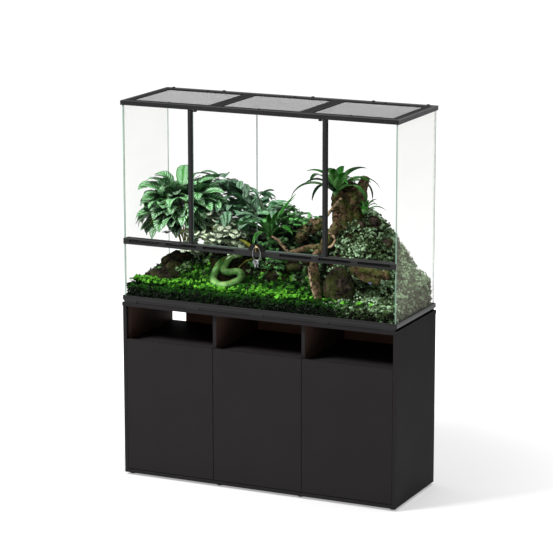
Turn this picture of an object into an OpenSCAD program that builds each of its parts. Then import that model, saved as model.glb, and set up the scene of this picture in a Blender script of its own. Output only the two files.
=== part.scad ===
// Planted glass terrarium with a mesh top, on a melamine cabinet with three open niches and three doors.
// Origin: middle of the footprint, on the floor. The front looks towards -Y and X runs to the right.

/* [Cabinet] */
// Width of the cabinet over its side panels
cab_w = 1210; // [1150:10:1400]
// Depth of the cabinet
cab_d = 410; // [400:10:520]
// Height of the cabinet from the underside of its bottom panel to the top of its top panel
cab_h = 722; // [660:2:900]
// Thickness of every cabinet board
board = 15; // [12:1:19]
// Height of the plastic feet
foot_h = 10; // [5:1:25]
// Radius of a plastic foot
foot_r = 13; // [8:1:20]
// Distance the top panel stands out past the sides and the front
top_over = 2; // [0:0.5:5]
// Clear height of the open niches
niche_h = 147; // [100:1:220]
// Thickness of the back panel
back_t = 3; // [3:0.5:8]

/* [Cabinet doors] */
// Gap round each door
door_gap = 2.5; // [1.5:0.5:4]
// Space between a door's back and the dividers behind it
door_back_gap = 3; // [2:0.5:6]
// Height that the doors reach above the niche floor
door_rise = 8; // [4:1:12]
// Radius of a hinge cup
cup_r = 17.5; // [15:0.5:20]
// Depth of a hinge cup in the door
cup_depth = 10; // [7:0.5:10]
// Distance of the hinge cups from the ends of the door
cup_end = 90; // [60:5:150]

/* [Cable cut-out] */
// Width of the cable cut-out in the back of the left niche
cable_w = 65; // [30:5:120]
// Height of the cable cut-out above the niche floor
cable_h = 40; // [20:5:80]

/* [Tank] */
// Gap under the tank, between the cabinet top and the base frame
tank_lift = 11; // [6:1:20]
// Height of the tank from the underside of its base frame to the top of its top frame
tank_h = 820; // [760:10:1000]
// Height of the base frame
base_rail_h = 17.5; // [14:0.5:25]
// Thickness of the frame walls in front of the glass
rail_t = 6; // [4:0.5:8]
// Thickness of the wall and door glass
glass_t = 6; // [4:0.5:8]
// Thickness of the bottom glass
floor_glass_t = 8; // [6:0.5:10]
// Length of one foot of the base frame
frame_foot_l = 62; // [40:2:90]
// Number of feet along each long side of the base frame
frame_foot_count = 5; // [3:1:7]

/* [Vent bar] */
// Height of the vent bar's underside above the underside of the base frame
vent_z = 233; // [200:5:300]
// Height of the vent bar
vent_h = 24.5; // [20:0.5:32]
// Depth of the vent bar
vent_d = 30; // [24:1:40]
// Length of one vent slot
slot_l = 140; // [90:5:150]
// Height of a vent slot
slot_h = 11; // [6:0.5:13]
// Distance of the slots' middle below the top of the vent bar
slot_drop = 10.3; // [9:0.1:11]
// Spacing of the vent slots
slot_pitch = 168; // [160:1:178]

/* [Glass doors] */
// Distance of each hinge post's middle from the middle of the tank
post_x = 293.5; // [260:0.5:320]
// Width of a hinge post
post_w = 18; // [14:1:24]
// Depth of a hinge post
post_d = 16; // [14:1:20]
// Gap between a glass door and what is beside, above and below it
glass_gap = 2; // [1.5:0.5:4]
// Radius of the pivot pins
pivot_r = 2.5; // [2:0.25:3]
// Length of a pivot pin inside its hole
pivot_l = 7; // [5:0.5:8]

/* [Lock] */
// Radius of the lock cylinder
lock_r = 5; // [4:0.5:6]
// Height of the lock plates at the foot of the glass doors
lock_plate_h = 23; // [20:1:30]
// Height of the key ring
ring_h = 57; // [40:1:60]
// Width of the key ring
ring_w = 36; // [24:1:40]
// Thickness of the key ring's wire
ring_wire = 1.8; // [1.4:0.2:2.4]

/* [Top frame and lids] */
// Height of the top frame
top_rail_h = 18; // [16:0.5:26]
// Width of the top frame's rim at the front and the sides
rim_w = 12; // [10:0.5:16]
// Width of the top frame's rim at the back
rear_rim_w = 28; // [22:1:40]
// Width of the ledge that the lids lie on
ledge_w = 14; // [10:1:20]
// Thickness of a lid
lid_t = 8; // [7:0.5:9]
// Width of a lid's frame bars
lid_bar = 27; // [20:1:34]
// Gap round each lid
lid_gap = 1; // [0.5:0.25:2]
// Number of mesh cells along each side of a lid
mesh_cells = 10; // [6:1:10]

/* [Planting] */
// Height of the soil bed
soil_h = 38; // [25:1:50]
// Height of the ground cover above the soil
cover_h = 26; // [15:1:30]
// Height of the hill on the right above the soil
hill_h = 300; // [250:5:330]
// Radius of the snake's body
snake_r = 13.5; // [9:0.5:14]

/* [Hidden] */

// Small clearances
fit = 0.2;          // fixed pieces that slide together
run = 0.08;         // radial clearance of a turning pin
seat = 0.3;         // planting above what it lies on
eps = 0.01;

// Cabinet levels and planes
panel_z = foot_h;
cab_top = panel_z + cab_h;
half_w = cab_w / 2;
half_d = cab_d / 2;
in_w = half_w - board;
floor_z = panel_z + board;
niche_top = cab_top - board;
shelf_top = niche_top - niche_h;
shelf_bottom = shelf_top - board;
front_y = -half_d;
divider_y = front_y + board + door_back_gap;
back_in = half_d - back_t;

// Doors: three equal leaves between the side panels
door_z0 = floor_z + door_gap;
door_z1 = shelf_top + door_rise;
door_pitch = 2 * in_w / 3;
door_w = door_pitch - door_gap;
divider_x = door_pitch / 2;
door_x = [for (i = [-1:1]) i * door_pitch];
door_side = [-1, -1, 1];             // side of each door that carries its hinges
arm_l = 62;
arm_w = 12;
arm_h = 20;
arm_plate_t = 3;
cup_wall = 3;
cup_floor = 2;
cup_flange_r = cup_r + 3;
cup_flange_t = 2;
cup_in = cup_flange_r + 4;
latch_r = 6;
latch_l = 60;
plunger_r = 3;
plunger_l = 26;

// Feet of the cabinet: under the side panels and the dividers
foot_x = [-half_w + 22, -divider_x + 15, divider_x - 15, half_w - 22];
foot_y = [front_y + 32, half_d - 45];

// Tank levels and planes
tank_z = cab_top + tank_lift;
frame_top = tank_z + base_rail_h;
ledge_t = 4;
floor_glass_z = tank_z + ledge_t;
soil_z = floor_glass_z + floor_glass_t;
tank_top = tank_z + tank_h;
top_z = tank_top - top_rail_h;
glass_x = half_w - rail_t - fit;     // outer faces of the side glass
glass_y = half_d - rail_t - fit;     // outer faces of the front and back glass
in_x = glass_x - glass_t;
in_y = glass_y - glass_t;
bar_z = tank_z + vent_z;
bar_top = bar_z + vent_h;
slot_z = bar_top - slot_drop;
slots_a_side = 3;
slot_first = slot_pitch + 1;
bar_bevel = 1.5;
grille_t = 1;
grille_bars = 14;
base_ledge_w = 30;
frame_foot_d = 26;
frame_foot_slope = 6;
frame_foot_first = -half_w + frame_foot_l / 2 + 4;

// Posts and glass doors
post_front = front_y + 1.5;
post_slot = 5;
post_in = post_x - post_w / 2;       // face towards the doors
post_out = post_x + post_w / 2;      // face towards the fixed panes
door_glass_x1 = post_in - glass_gap;
door_glass_x0 = glass_gap * 0.6;
door_glass_z0 = bar_top + glass_gap;
door_glass_z1 = top_z - glass_gap;
pivot_x = post_in - glass_gap - 10;
pivot_y = -glass_y + glass_t / 2;
block_l = 12;
block_d = 12;
block_h = 6;

// Lock and keys
plate_t = 8;
plate_foot = 36;
plate_head = 24;
plate_y = -glass_y - plate_t;
lock_x = 11.5;
lock_z = door_glass_z0 + 10;
cyl_l = plate_t + 4;
bow_r = 11;
bow_y = plate_y - 4 - 13;
bow_t = 2.2;
bow_low = -3;
bow_high = 6;
bow_hole = 3.5;
ring_y = bow_y - 4;
ring_top = lock_z + bow_high + 4 - bow_hole + ring_wire / 2 + seat;
ring_bottom = ring_top - ring_h + ring_wire;
ring_a = (ring_w - ring_wire) / 2;    // half the width of the wire's middle line, and half its height
ring_b = (ring_h - ring_wire) / 2;
ring_end_r = ring_a * 0.8;            // radius of the middle line at the top and the bottom
ring_side_r = (pow(ring_b - ring_end_r, 2) + ring_a * ring_a - ring_end_r * ring_end_r)
    / (2 * (ring_a - ring_end_r));
ring_joint = atan2(ring_b - ring_end_r, ring_side_r - ring_a);   // where the arcs meet
spare_bow_r = 11;
spare_t = 2;
spare_blade = 11;
spare_hole_r = 4.8;
spare_play = 0.6;
spare_shift = 5.5;
spare_turn = [30, 36];
spare_slope = asin(spare_shift / ring_end_r);         // slope of the wire in a key's hole
spare_z = ring_bottom + ring_end_r * (1 - cos(spare_slope));

// Lids
lid_z = tank_top - lid_t;
lid_y0 = front_y + rim_w + lid_gap;
lid_y1 = half_d - rear_rim_w - lid_gap;
lid_span = 2 * (half_w - rim_w) / 3;
lid_half = lid_span / 2 - lid_gap;
lid_x = [for (i = [-1:1]) i * lid_span];
mesh_t = 1.2;
mesh_grip = 5;
mesh_wire = 3;
knob_r = 4;
knob_h = 3;
inlet_end = 38;                      // middle of the outer inlets to the ends of the frame
inlet_x = [-half_w + inlet_end, -334, 66, 332, half_w - inlet_end];
inlet_r = 4.5;
inlet_head_r = 6.5;
inlet_head_h = 4;
inlet_y = half_d - rear_rim_w / 2;
groove = 1;
groove_w = 2;

// Planting
bed_z = soil_z + soil_h;             // top of the soil
bed_gap = 1.5;                       // soil to glass
bank_x = in_x - 3;
bank_y = in_y - 3;
bank_nx = 40;
bank_ny = 16;
bank_toe = 4;                        // flat strip in front of the foot of the slope
golden_turn = 137.5;                 // turn from one leaf to the next round a stem

// ---------- small helpers ----------

// A box from one corner to the opposite one
module block(low, high) {
    translate(low)
        cube(high - low);
}

// A smooth step from 0 to 1 between a and b
function ease(a, b, v) =
    let (t = min(1, max(0, (v - a) / (b - a))))
    t * t * (3 - 2 * t);

// A bell of height 1 and width s at c
function bell(v, c, s) = exp(-pow((v - c) / s, 2) / 2);

// ---------- cabinet ----------

module left_side_panel() {
    color("#2b292b")
        block([-half_w, front_y, panel_z], [-in_w, half_d, niche_top]);
}

module right_side_panel() {
    color("#2b292b")
        block([in_w, front_y, panel_z], [half_w, half_d, niche_top]);
}

module top_panel() {
    color("#2b292b")
        block([-half_w - top_over, front_y - top_over, niche_top], [half_w + top_over, half_d, cab_top]);
}

module bottom_panel() {
    color("#2b292b")
        block([-in_w, front_y, panel_z], [in_w, back_in, floor_z]);
}

module divider(x) {
    color("#2b292b")
        block([x - board / 2, divider_y, floor_z], [x + board / 2, back_in, niche_top]);
}

module divider_left() {
    divider(-divider_x);
}

module divider_right() {
    divider(divider_x);
}

// One shelf board in each of the three bays
module niche_shelves() {
    color("#1c1b1c") {
        block([-in_w, divider_y, shelf_bottom], [-divider_x - board / 2, back_in, shelf_top]);
        block([-divider_x + board / 2, divider_y, shelf_bottom], [divider_x - board / 2, back_in, shelf_top]);
        block([divider_x + board / 2, divider_y, shelf_bottom], [in_w, back_in, shelf_top]);
    }
}

// The back closes the cabinet and has the cable cut-out in the corner of the left niche
module back_panel() {
    color("#1a1513")
        difference() {
            block([-in_w, back_in, panel_z], [in_w, half_d, niche_top]);
            block([-in_w - 1, back_in - 1, shelf_top], [-in_w + cable_w, half_d + 1, shelf_top + cable_h]);
        }
}

// One door leaf with the two blind cup holes in its back
module door_leaf(i) {
    x0 = door_x[i] - door_w / 2;
    color("#2b292b")
        difference() {
            block([x0, front_y, door_z0], [x0 + door_w, front_y + board, door_z1]);
            for (z = [door_z0 + cup_end, door_z1 - cup_end])
                translate([cup_x(i), front_y + board - cup_depth, z])
                    rotate([-90, 0, 0])
                        cylinder(r = cup_r, h = cup_depth + 1, $fn = 48);
        }
}

// X of a door's hinge cups
function cup_x(i) = door_x[i] + door_side[i] * (door_w / 2 - cup_in);

module door_left() {
    door_leaf(0);
}

module door_middle() {
    door_leaf(1);
}

module door_right() {
    door_leaf(2);
}

// Cups of one door, each with its flange on the door's back
module hinge_cups(i) {
    color("#b9bcc0")
        for (z = [door_z0 + cup_end, door_z1 - cup_end])
            translate([cup_x(i), front_y + board, z])
                rotate([-90, 0, 0]) {
                    translate([0, 0, -cup_depth + fit])
                        difference() {
                            cylinder(r = cup_r - fit, h = cup_depth - fit + eps, $fn = 48);
                            translate([0, 0, cup_floor])
                                cylinder(r = cup_r - cup_wall, h = cup_depth, $fn = 48);
                        }
                    difference() {
                        cylinder(r = cup_flange_r, h = cup_flange_t, $fn = 48);
                        translate([0, 0, -1])
                            cylinder(r = cup_r - cup_wall, h = cup_flange_t + 2, $fn = 48);
                    }
                }
}

module hinge_cups_left() {
    hinge_cups(0);
}

module hinge_cups_middle() {
    hinge_cups(1);
}

module hinge_cups_right() {
    hinge_cups(2);
}

// Mounting arms on the side panels and on the left divider, behind each cup
module hinge_arms() {
    color("#b9bcc0")
        for (i = [0:2])
            for (z = [door_z0 + cup_end, door_z1 - cup_end])
                hinge_arm(wall_face(i), -door_side[i], abs(cup_x(i) - wall_face(i)), z);
}

// Face of the board that carries a door's hinges
function wall_face(i) = i == 0 ? -in_w : i == 1 ? -divider_x + board / 2 : in_w;

// A plate on the board, an arm along it, and a tongue that reaches from the arm into the cup
module hinge_arm(x, side, cup_off, z) {
    y0 = divider_y + 3;
    tip_y = front_y + board - cup_depth + fit + cup_floor + seat;
    translate([x, 0, z])
        scale_side(side) {
            block([0, y0 + 8, -arm_h], [arm_plate_t, y0 + 48, arm_h]);
            block([arm_plate_t - eps, y0, -arm_h / 2], [arm_w, y0 + arm_l, arm_h / 2]);
            block([arm_w - eps, y0, -arm_h / 2], [cup_off + 5, y0 + 6, arm_h / 2]);
            block([cup_off - 4, tip_y, -arm_h / 2], [cup_off + 5, y0 + eps, arm_h / 2]);
        }
}

// Mirrors what follows when side is -1
module scale_side(side) {
    mirror([side < 0 ? 1 : 0, 0, 0])
        children();
}

// ---------- push latches under the niche shelves ----------

function latch_x(i) = door_x[i] - door_side[i] * (door_w / 2 - 45);
latch_z = shelf_bottom - latch_r - 3;
latch_y = front_y + board + 8;

module latch_bodies() {
    color("#8a8c90")
        for (i = [0:2])
            difference() {
                union() {
                    translate([latch_x(i), latch_y, latch_z])
                        rotate([-90, 0, 0])
                            cylinder(r = latch_r, h = latch_l, $fn = 32);
                    block([latch_x(i) - latch_r, divider_y + 6, latch_z],
                          [latch_x(i) + latch_r, latch_y + latch_l - 4, shelf_bottom]);
                }
                translate([latch_x(i), latch_y - 1, latch_z])
                    rotate([-90, 0, 0])
                        cylinder(r = plunger_r + run, h = plunger_l + 1, $fn = 32);
            }
}

// A plunger that rests against the back of its door
module latch_plunger(i) {
    color("#d8d8d8")
        translate([latch_x(i), front_y + board + seat, latch_z])
            rotate([-90, 0, 0])
                cylinder(r = plunger_r, h = plunger_l, $fn = 32);
}

module latch_plunger_left() {
    latch_plunger(0);
}

module latch_plunger_middle() {
    latch_plunger(1);
}

module latch_plunger_right() {
    latch_plunger(2);
}

module cabinet_feet() {
    color("#141414")
        for (x = foot_x)
            for (y = foot_y)
                translate([x, y, 0])
                    rotate_extrude($fn = 48)
                        polygon([[0, 0], [foot_r - 1, 0], [foot_r, 1], [foot_r, foot_h - 2],
                                 [foot_r - 2, foot_h], [0, foot_h]]);
}

// ---------- tank: base ----------

// A rectangular ring between two rectangles
module ring_block(outer_x, outer_y, inner_x, inner_y, z0, z1) {
    difference() {
        block([-outer_x, -outer_y, z0], [outer_x, outer_y, z1]);
        block([-inner_x, -inner_y, z0 - 1], [inner_x, inner_y, z1 + 1]);
    }
}

// A shallow groove all round the outside of a frame
module round_groove(z) {
    ring_block(half_w + 1, half_d + 1, half_w - groove, half_d - groove, z - groove_w / 2, z + groove_w / 2);
}

module base_frame() {
    color("#2f2f30")
        difference() {
            union() {
                ring_block(half_w, half_d, half_w - rail_t, half_d - rail_t, tank_z, frame_top);
                ring_block(half_w - rail_t + eps, half_d - rail_t + eps, half_w - base_ledge_w,
                           half_d - base_ledge_w, tank_z, floor_glass_z);
            }
            round_groove(tank_z + base_rail_h * 0.72);
        }
}

// Feet with slanted ends that carry the base frame on the cabinet top
module base_frame_feet() {
    color("#232323")
        for (i = [0:frame_foot_count - 1])
            for (side = [-1, 1])
                frame_foot(frame_foot_first * (1 - 2 * i / (frame_foot_count - 1)), side);
}

module frame_foot(x, side) {
    y_mid = side * (half_d - frame_foot_d / 2);
    translate([x, y_mid + frame_foot_d / 2, cab_top])
        rotate([90, 0, 0])
            linear_extrude(frame_foot_d)
                polygon([[-frame_foot_l / 2 + frame_foot_slope, 0], [frame_foot_l / 2 - frame_foot_slope, 0],
                         [frame_foot_l / 2, tank_lift], [-frame_foot_l / 2, tank_lift]]);
}

// ---------- tank: glass ----------

module bottom_glass() {
    color("#b8d8cc", 0.35)
        block([-glass_x, -glass_y, floor_glass_z], [glass_x, glass_y, soil_z]);
}

module side_glass(side) {
    color("#b8d8cc", 0.35)
        scale_side(side)
            block([in_x, -glass_y, soil_z], [glass_x, in_y, top_z]);
}

module left_glass() {
    side_glass(-1);
}

module right_glass() {
    side_glass(1);
}

module back_glass() {
    color("#b8d8cc", 0.35)
        block([-glass_x, in_y, soil_z], [glass_x, glass_y, top_z]);
}

module lower_front_glass() {
    color("#b8d8cc", 0.35)
        block([-in_x, -glass_y, soil_z], [in_x, -in_y, bar_z]);
}

// The outer panes stand on the vent bar and end in the slot of their post
module fixed_pane(side) {
    color("#b8d8cc", 0.35)
        scale_side(side)
            block([post_out - post_slot + fit, -glass_y, bar_top], [in_x, -in_y, top_z]);
}

module fixed_pane_left() {
    fixed_pane(-1);
}

module fixed_pane_right() {
    fixed_pane(1);
}

// ---------- tank: vent bar ----------

// The middle of slot i, counted outwards from the lock
function slot_x(i) = slot_first + i * slot_pitch;

module each_slot() {
    for (i = [0:slots_a_side - 1])
        for (side = [-1, 1])
            translate([side * slot_x(i), 0, slot_z])
                children();
}

// The bar has a lip in front of the glass, six air slots and the holes of the door pivots
module vent_bar() {
    y1 = front_y + vent_d;
    color("#2d2d2e")
        difference() {
            union() {
                block([-glass_x, front_y, bar_z], [glass_x, -glass_y - fit, bar_top]);
                block([-in_x + fit, front_y, bar_z], [in_x - fit, y1, bar_top]);
            }
            translate([0, front_y, bar_top])
                rotate([45, 0, 0])
                    cube([cab_w, bar_bevel * sqrt(2), bar_bevel * sqrt(2)], center = true);
            each_slot()
                block([-slot_l / 2, front_y - 1, -slot_h / 2], [slot_l / 2, y1 + 1, slot_h / 2]);
            for (side = [-1, 1])
                translate([side * pivot_x, pivot_y, bar_top - pivot_l - 1])
                    cylinder(r = pivot_r + run, h = pivot_l + 2, $fn = 32);
        }
}

// A grille of upright bars inside each slot
module vent_grilles() {
    color("#151515")
        each_slot()
            translate([0, front_y + 4, 0])
                difference() {
                    block([-slot_l / 2 + fit, 0, -slot_h / 2 + fit],
                          [slot_l / 2 - fit, grille_t, slot_h / 2 - fit]);
                    for (k = [0:grille_bars - 1])
                        translate([(k - (grille_bars - 1) / 2) * (slot_l - 8) / grille_bars, 0, 0])
                            block([-2, -1, -slot_h / 2 + 2], [2, grille_t + 1, slot_h / 2 - 2]);
                }
}

// ---------- tank: posts and glass doors ----------

// The post's outline has a raised middle strip, and a slot for the fixed pane
module hinge_post(side) {
    y0 = post_front;
    y1 = post_front + post_d;
    color("#202021")
        scale_side(side)
            difference() {
                translate([0, 0, bar_top])
                    linear_extrude(top_z - bar_top)
                        polygon([[post_in, y0 + 2], [post_in + 3, y0 + 2], [post_in + 4, y0],
                                 [post_out - 4, y0], [post_out - 3, y0 + 2], [post_out, y0 + 2],
                                 [post_out, y1], [post_in, y1]]);
                block([post_out - post_slot, -glass_y - fit, bar_top - 1],
                      [post_out + 1, -in_y + fit, top_z + 1]);
            }
}

module hinge_post_left() {
    hinge_post(-1);
}

module hinge_post_right() {
    hinge_post(1);
}

// A door pane with notches at its hinge corners for the pivot blocks
module glass_door(side) {
    color("#b8d8cc", 0.35)
        scale_side(side)
            difference() {
                block([door_glass_x0, -glass_y, door_glass_z0], [door_glass_x1, -in_y, door_glass_z1]);
                for (z = [door_glass_z0 - 1, door_glass_z1 - block_h / 2])
                    block([pivot_x - block_l / 2, -glass_y - 1, z],
                          [door_glass_x1 + 1, -in_y + 1, z + block_h / 2 + 1]);
            }
}

module glass_door_left() {
    glass_door(-1);
}

module glass_door_right() {
    glass_door(1);
}

// Pivot blocks that clamp the pane's hinge corners, with pins into the vent bar and the top frame
module door_pivots(side) {
    color("#1b1b1b")
        scale_side(side)
            for (up = [0, 1])
                translate([pivot_x, pivot_y, up == 1 ? door_glass_z1 : door_glass_z0])
                    mirror([0, 0, up])
                        difference() {
                            union() {
                                block([-block_l / 2, -block_d / 2, 0], [block_l / 2, block_d / 2, block_h]);
                                translate([0, 0, -glass_gap - pivot_l])
                                    cylinder(r = pivot_r, h = glass_gap + pivot_l + 1, $fn = 32);
                            }
                            block([-block_l / 2 - 1, -glass_t / 2 - fit, block_h / 2 - fit],
                                  [block_l / 2 + 1, glass_t / 2 + fit, block_h + 1]);
                        }
}

module door_pivots_left() {
    door_pivots(-1);
}

module door_pivots_right() {
    door_pivots(1);
}

// ---------- lock ----------

// Half of the slanted plate, drawn for the right-hand door
module plate_half() {
    x0 = door_glass_x0;
    translate([0, -glass_y, door_glass_z0])
        rotate([90, 0, 0])
            linear_extrude(plate_t)
                polygon([[x0, 0], [plate_foot, 0], [plate_head + 4, lock_plate_h - 7],
                         [plate_head, lock_plate_h - 2], [plate_head - 4, lock_plate_h], [x0, lock_plate_h]]);
    block([x0, -in_y, door_glass_z0], [plate_foot - 6, -in_y + 3, door_glass_z0 + lock_plate_h - 6]);
}

// Catch plate on the left-hand glass door
module door_catch() {
    color("#1d1d1e")
        mirror([1, 0, 0])
            plate_half();
}

// Lock plate on the right-hand glass door, bored for the lock cylinder
module lock_housing() {
    color("#1d1d1e")
        difference() {
            plate_half();
            translate([lock_x, -glass_y + 1 - eps, lock_z])
                rotate([90, 0, 0])
                    cylinder(r = lock_r + run, h = plate_t + 3, $fn = 48);
        }
}

module lock_cylinder() {
    color("#c9a75a")
        difference() {
            translate([lock_x, -glass_y - fit, lock_z])
                rotate([90, 0, 0])
                    cylinder(r = lock_r, h = cyl_l - fit, $fn = 48);
            block([lock_x - bow_t / 2 - fit, plate_y - 5, lock_z - 3.5 - fit],
                  [lock_x + bow_t / 2 + fit, -glass_y - 2, lock_z + 3.5 + fit]);
        }
}

// The key: a blade in the cylinder and an upright long bow with the ring's hole near its top
module lock_key() {
    blade_y = -glass_y - 3;
    color("#c9a75a")
        difference() {
            union() {
                block([lock_x - bow_t / 2, bow_y, lock_z - 3.5],
                      [lock_x + bow_t / 2, blade_y, lock_z + 3.5]);
                for (z = [bow_low, bow_high])
                    translate([lock_x - bow_t / 2, bow_y, lock_z + z])
                        rotate([0, 90, 0])
                            cylinder(r = bow_r, h = bow_t, $fn = 48);
                block([lock_x - bow_t / 2, bow_y - bow_r, lock_z + bow_low],
                      [lock_x + bow_t / 2, bow_y + bow_r, lock_z + bow_high]);
            }
            translate([lock_x - 5, ring_y, lock_z + bow_high + 4])
                rotate([0, 90, 0])
                    cylinder(r = bow_hole, h = 10, $fn = 32);
        }
}

// An arc of the ring's wire, from one angle to another round its own centre
module wire_arc(r, from, to) {
    rotate([0, 0, from])
        rotate_extrude(angle = to - from, $fn = 96)
            translate([r, 0])
                circle(d = ring_wire, $fn = 16);
}

// An oval of wire: a small arc at the top and the bottom, and a large arc on each side
module key_ring() {
    color("#b5b5b5")
        translate([lock_x, ring_y, (ring_top + ring_bottom) / 2])
            rotate([90, 0, 0])
                for (turn = [0, 180])
                    rotate([0, 0, turn]) {
                        translate([0, ring_b - ring_end_r, 0])
                            wire_arc(ring_end_r, ring_joint, 180 - ring_joint);
                        translate([ring_a - ring_side_r, 0, 0])
                            wire_arc(ring_side_r, -ring_joint, ring_joint);
                    }
}

// Two spare keys, fanned apart, that hang from the foot of the ring
module spare_keys() {
    color("#8f9094")
        for (side = [0, 1]) {
            // The plate cuts the sloping wire in an oval that leaves its centre this much room in the
            // hole. Across the plate the wire climbs by climb and moves sideways by shift.
            room = spare_hole_r - ring_wire / 2 / cos(spare_slope) / cos(spare_turn[side]) - spare_play;
            climb = spare_t / 2 * tan(spare_slope) / cos(spare_turn[side]);
            shift = spare_t / 2 * tan(spare_turn[side]);
            hole_z = spare_z - sqrt(room * room - shift * shift) + climb + seat;
            translate([lock_x + (side == 1 ? 1 : -1) * spare_shift, ring_y, hole_z])
                rotate([0, 0, (side == 1 ? 1 : -1) * spare_turn[side]])
                    spare_key();
        }
}

// One key, drawn from the middle of its hole
module spare_key() {
    drop = spare_bow_r - spare_hole_r - 2;
    difference() {
        translate([0, 0, -drop]) {
            rotate([0, 90, 0])
                cylinder(r = spare_bow_r, h = spare_t, center = true, $fn = 48);
            translate([0, 0, -spare_bow_r - spare_blade / 2 + 1])
                cube([spare_t, 7, spare_blade], center = true);
        }
        rotate([0, 90, 0])
            cylinder(r = spare_hole_r, h = 8, center = true, $fn = 32);
    }
}

// ---------- top frame and lids ----------

module top_frame() {
    inner_x = half_w - rim_w;
    ledge_z = lid_z;
    color("#2d2d2e")
        difference() {
            block([-half_w, front_y, top_z], [half_w, half_d, tank_top]);
            block([-inner_x, front_y + rim_w, ledge_z], [inner_x, half_d - rear_rim_w, tank_top + 1]);
            for (i = [-1:1])
                block([i * lid_span - lid_span / 2 + ledge_w, front_y + rim_w + ledge_w, top_z - 1],
                      [i * lid_span + lid_span / 2 - ledge_w, half_d - rear_rim_w - ledge_w, ledge_z + 1]);
            round_groove(top_z + top_rail_h / 3);
            round_groove(top_z + top_rail_h * 2 / 3);
            for (side = [-1, 1])
                translate([side * pivot_x, pivot_y, top_z - 1])
                    cylinder(r = pivot_r + run, h = pivot_l + 2, $fn = 32);
            for (x = inlet_x)
                translate([x, inlet_y, top_z - 1])
                    cylinder(r = inlet_r + fit, h = top_rail_h + 2, $fn = 32);
        }
}

// Plugs that close the cable holes in the rear rim
module cable_inlets() {
    color("#3a3a3b")
        for (x = inlet_x)
            translate([x, inlet_y, top_z])
                union() {
                    cylinder(r = inlet_r, h = top_rail_h + eps, $fn = 32);
                    translate([0, 0, top_rail_h])
                        cylinder(r = inlet_head_r, h = inlet_head_h, $fn = 32);
                }
}

// A lid frame with the groove that grips its mesh, and a knob at the front and at the back
module lid_frame(i) {
    x0 = lid_x[i] - lid_half;
    x1 = lid_x[i] + lid_half;
    mesh_mid = lid_z + lid_t / 2;
    color("#3a3a3b")
        difference() {
            union() {
                block([x0, lid_y0, lid_z], [x1, lid_y1, tank_top]);
                for (y = [lid_y0 + lid_bar / 2, lid_y1 - lid_bar / 2])
                    translate([lid_x[i], y, tank_top - eps])
                        cylinder(r = knob_r, h = knob_h, $fn = 32);
            }
            block([x0 + lid_bar, lid_y0 + lid_bar, lid_z - 1],
                  [x1 - lid_bar, lid_y1 - lid_bar, tank_top + 1]);
            block([x0 + lid_bar - mesh_grip, lid_y0 + lid_bar - mesh_grip, mesh_mid - mesh_t / 2 - fit],
                  [x1 - lid_bar + mesh_grip, lid_y1 - lid_bar + mesh_grip, mesh_mid + mesh_t / 2 + fit]);
        }
}

module lid_frame_left() {
    lid_frame(0);
}

module lid_frame_middle() {
    lid_frame(1);
}

module lid_frame_right() {
    lid_frame(2);
}

// The mesh is a sheet with square cells, gripped in the groove of its lid frame
module lid_mesh(i) {
    reach_x = lid_half - lid_bar + mesh_grip - fit;
    y0 = lid_y0 + lid_bar - mesh_grip + fit;
    y1 = lid_y1 - lid_bar + mesh_grip - fit;
    cell_x = 2 * (reach_x - mesh_grip) / mesh_cells;
    cell_y = (y1 - y0 - 2 * mesh_grip) / mesh_cells;
    half_cells = (mesh_cells - 1) / 2;
    color("#b5b5b5")
        translate([lid_x[i], (y0 + y1) / 2, lid_z + lid_t / 2 - mesh_t / 2])
            linear_extrude(mesh_t)
                difference() {
                    square([2 * reach_x, y1 - y0], center = true);
                    for (a = [0:mesh_cells - 1])
                        for (b = [0:mesh_cells - 1])
                            translate([(a - half_cells) * cell_x, (b - half_cells) * cell_y])
                                square([cell_x - mesh_wire, cell_y - mesh_wire], center = true);
                }
}

module lid_mesh_left() {
    lid_mesh(0);
}

module lid_mesh_middle() {
    lid_mesh(1);
}

module lid_mesh_right() {
    lid_mesh(2);
}

// ---------- planting: ground ----------

module soil_bed() {
    color("#3a2a1c")
        block([-in_x + bed_gap, -in_y + bed_gap, soil_z], [in_x - bed_gap, in_y - bed_gap, bed_z]);
}

// Rises of the bank: [height, x of the top, spread]
rises = [[175, -in_x + 345, 115], [190, in_x - 575, 90], [hill_h, in_x - 275, 128]];
low_ridge = 24;
bank_run = 215;                      // length of the slope from its foot to the crest

// Height of the crest above the soil
function ridge(x) = low_ridge + sum([for (r = rises) r[0] * bell(x, r[1], r[2])]);

// Sum of a list
function sum(list, i = 0) = i == len(list) ? 0 : list[i] + sum(list, i + 1);

// Y where the bank starts to rise from the soil
function bank_foot(x) = -in_y + 52 - 20 * bell(x, in_x - 250, 140);

function bank_height(x, y) = 3 + ridge(x) * ease(bank_foot(x), bank_foot(x) + bank_run, y);

function bank_point(i, j) =
    let (x = -bank_x + 2 * bank_x * i / bank_nx,
         y0 = bank_foot(x) - bank_toe,
         y = y0 + (bank_y - y0) * j / bank_ny)
    [x, y, bed_z + seat + bank_height(x, y)];

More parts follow.
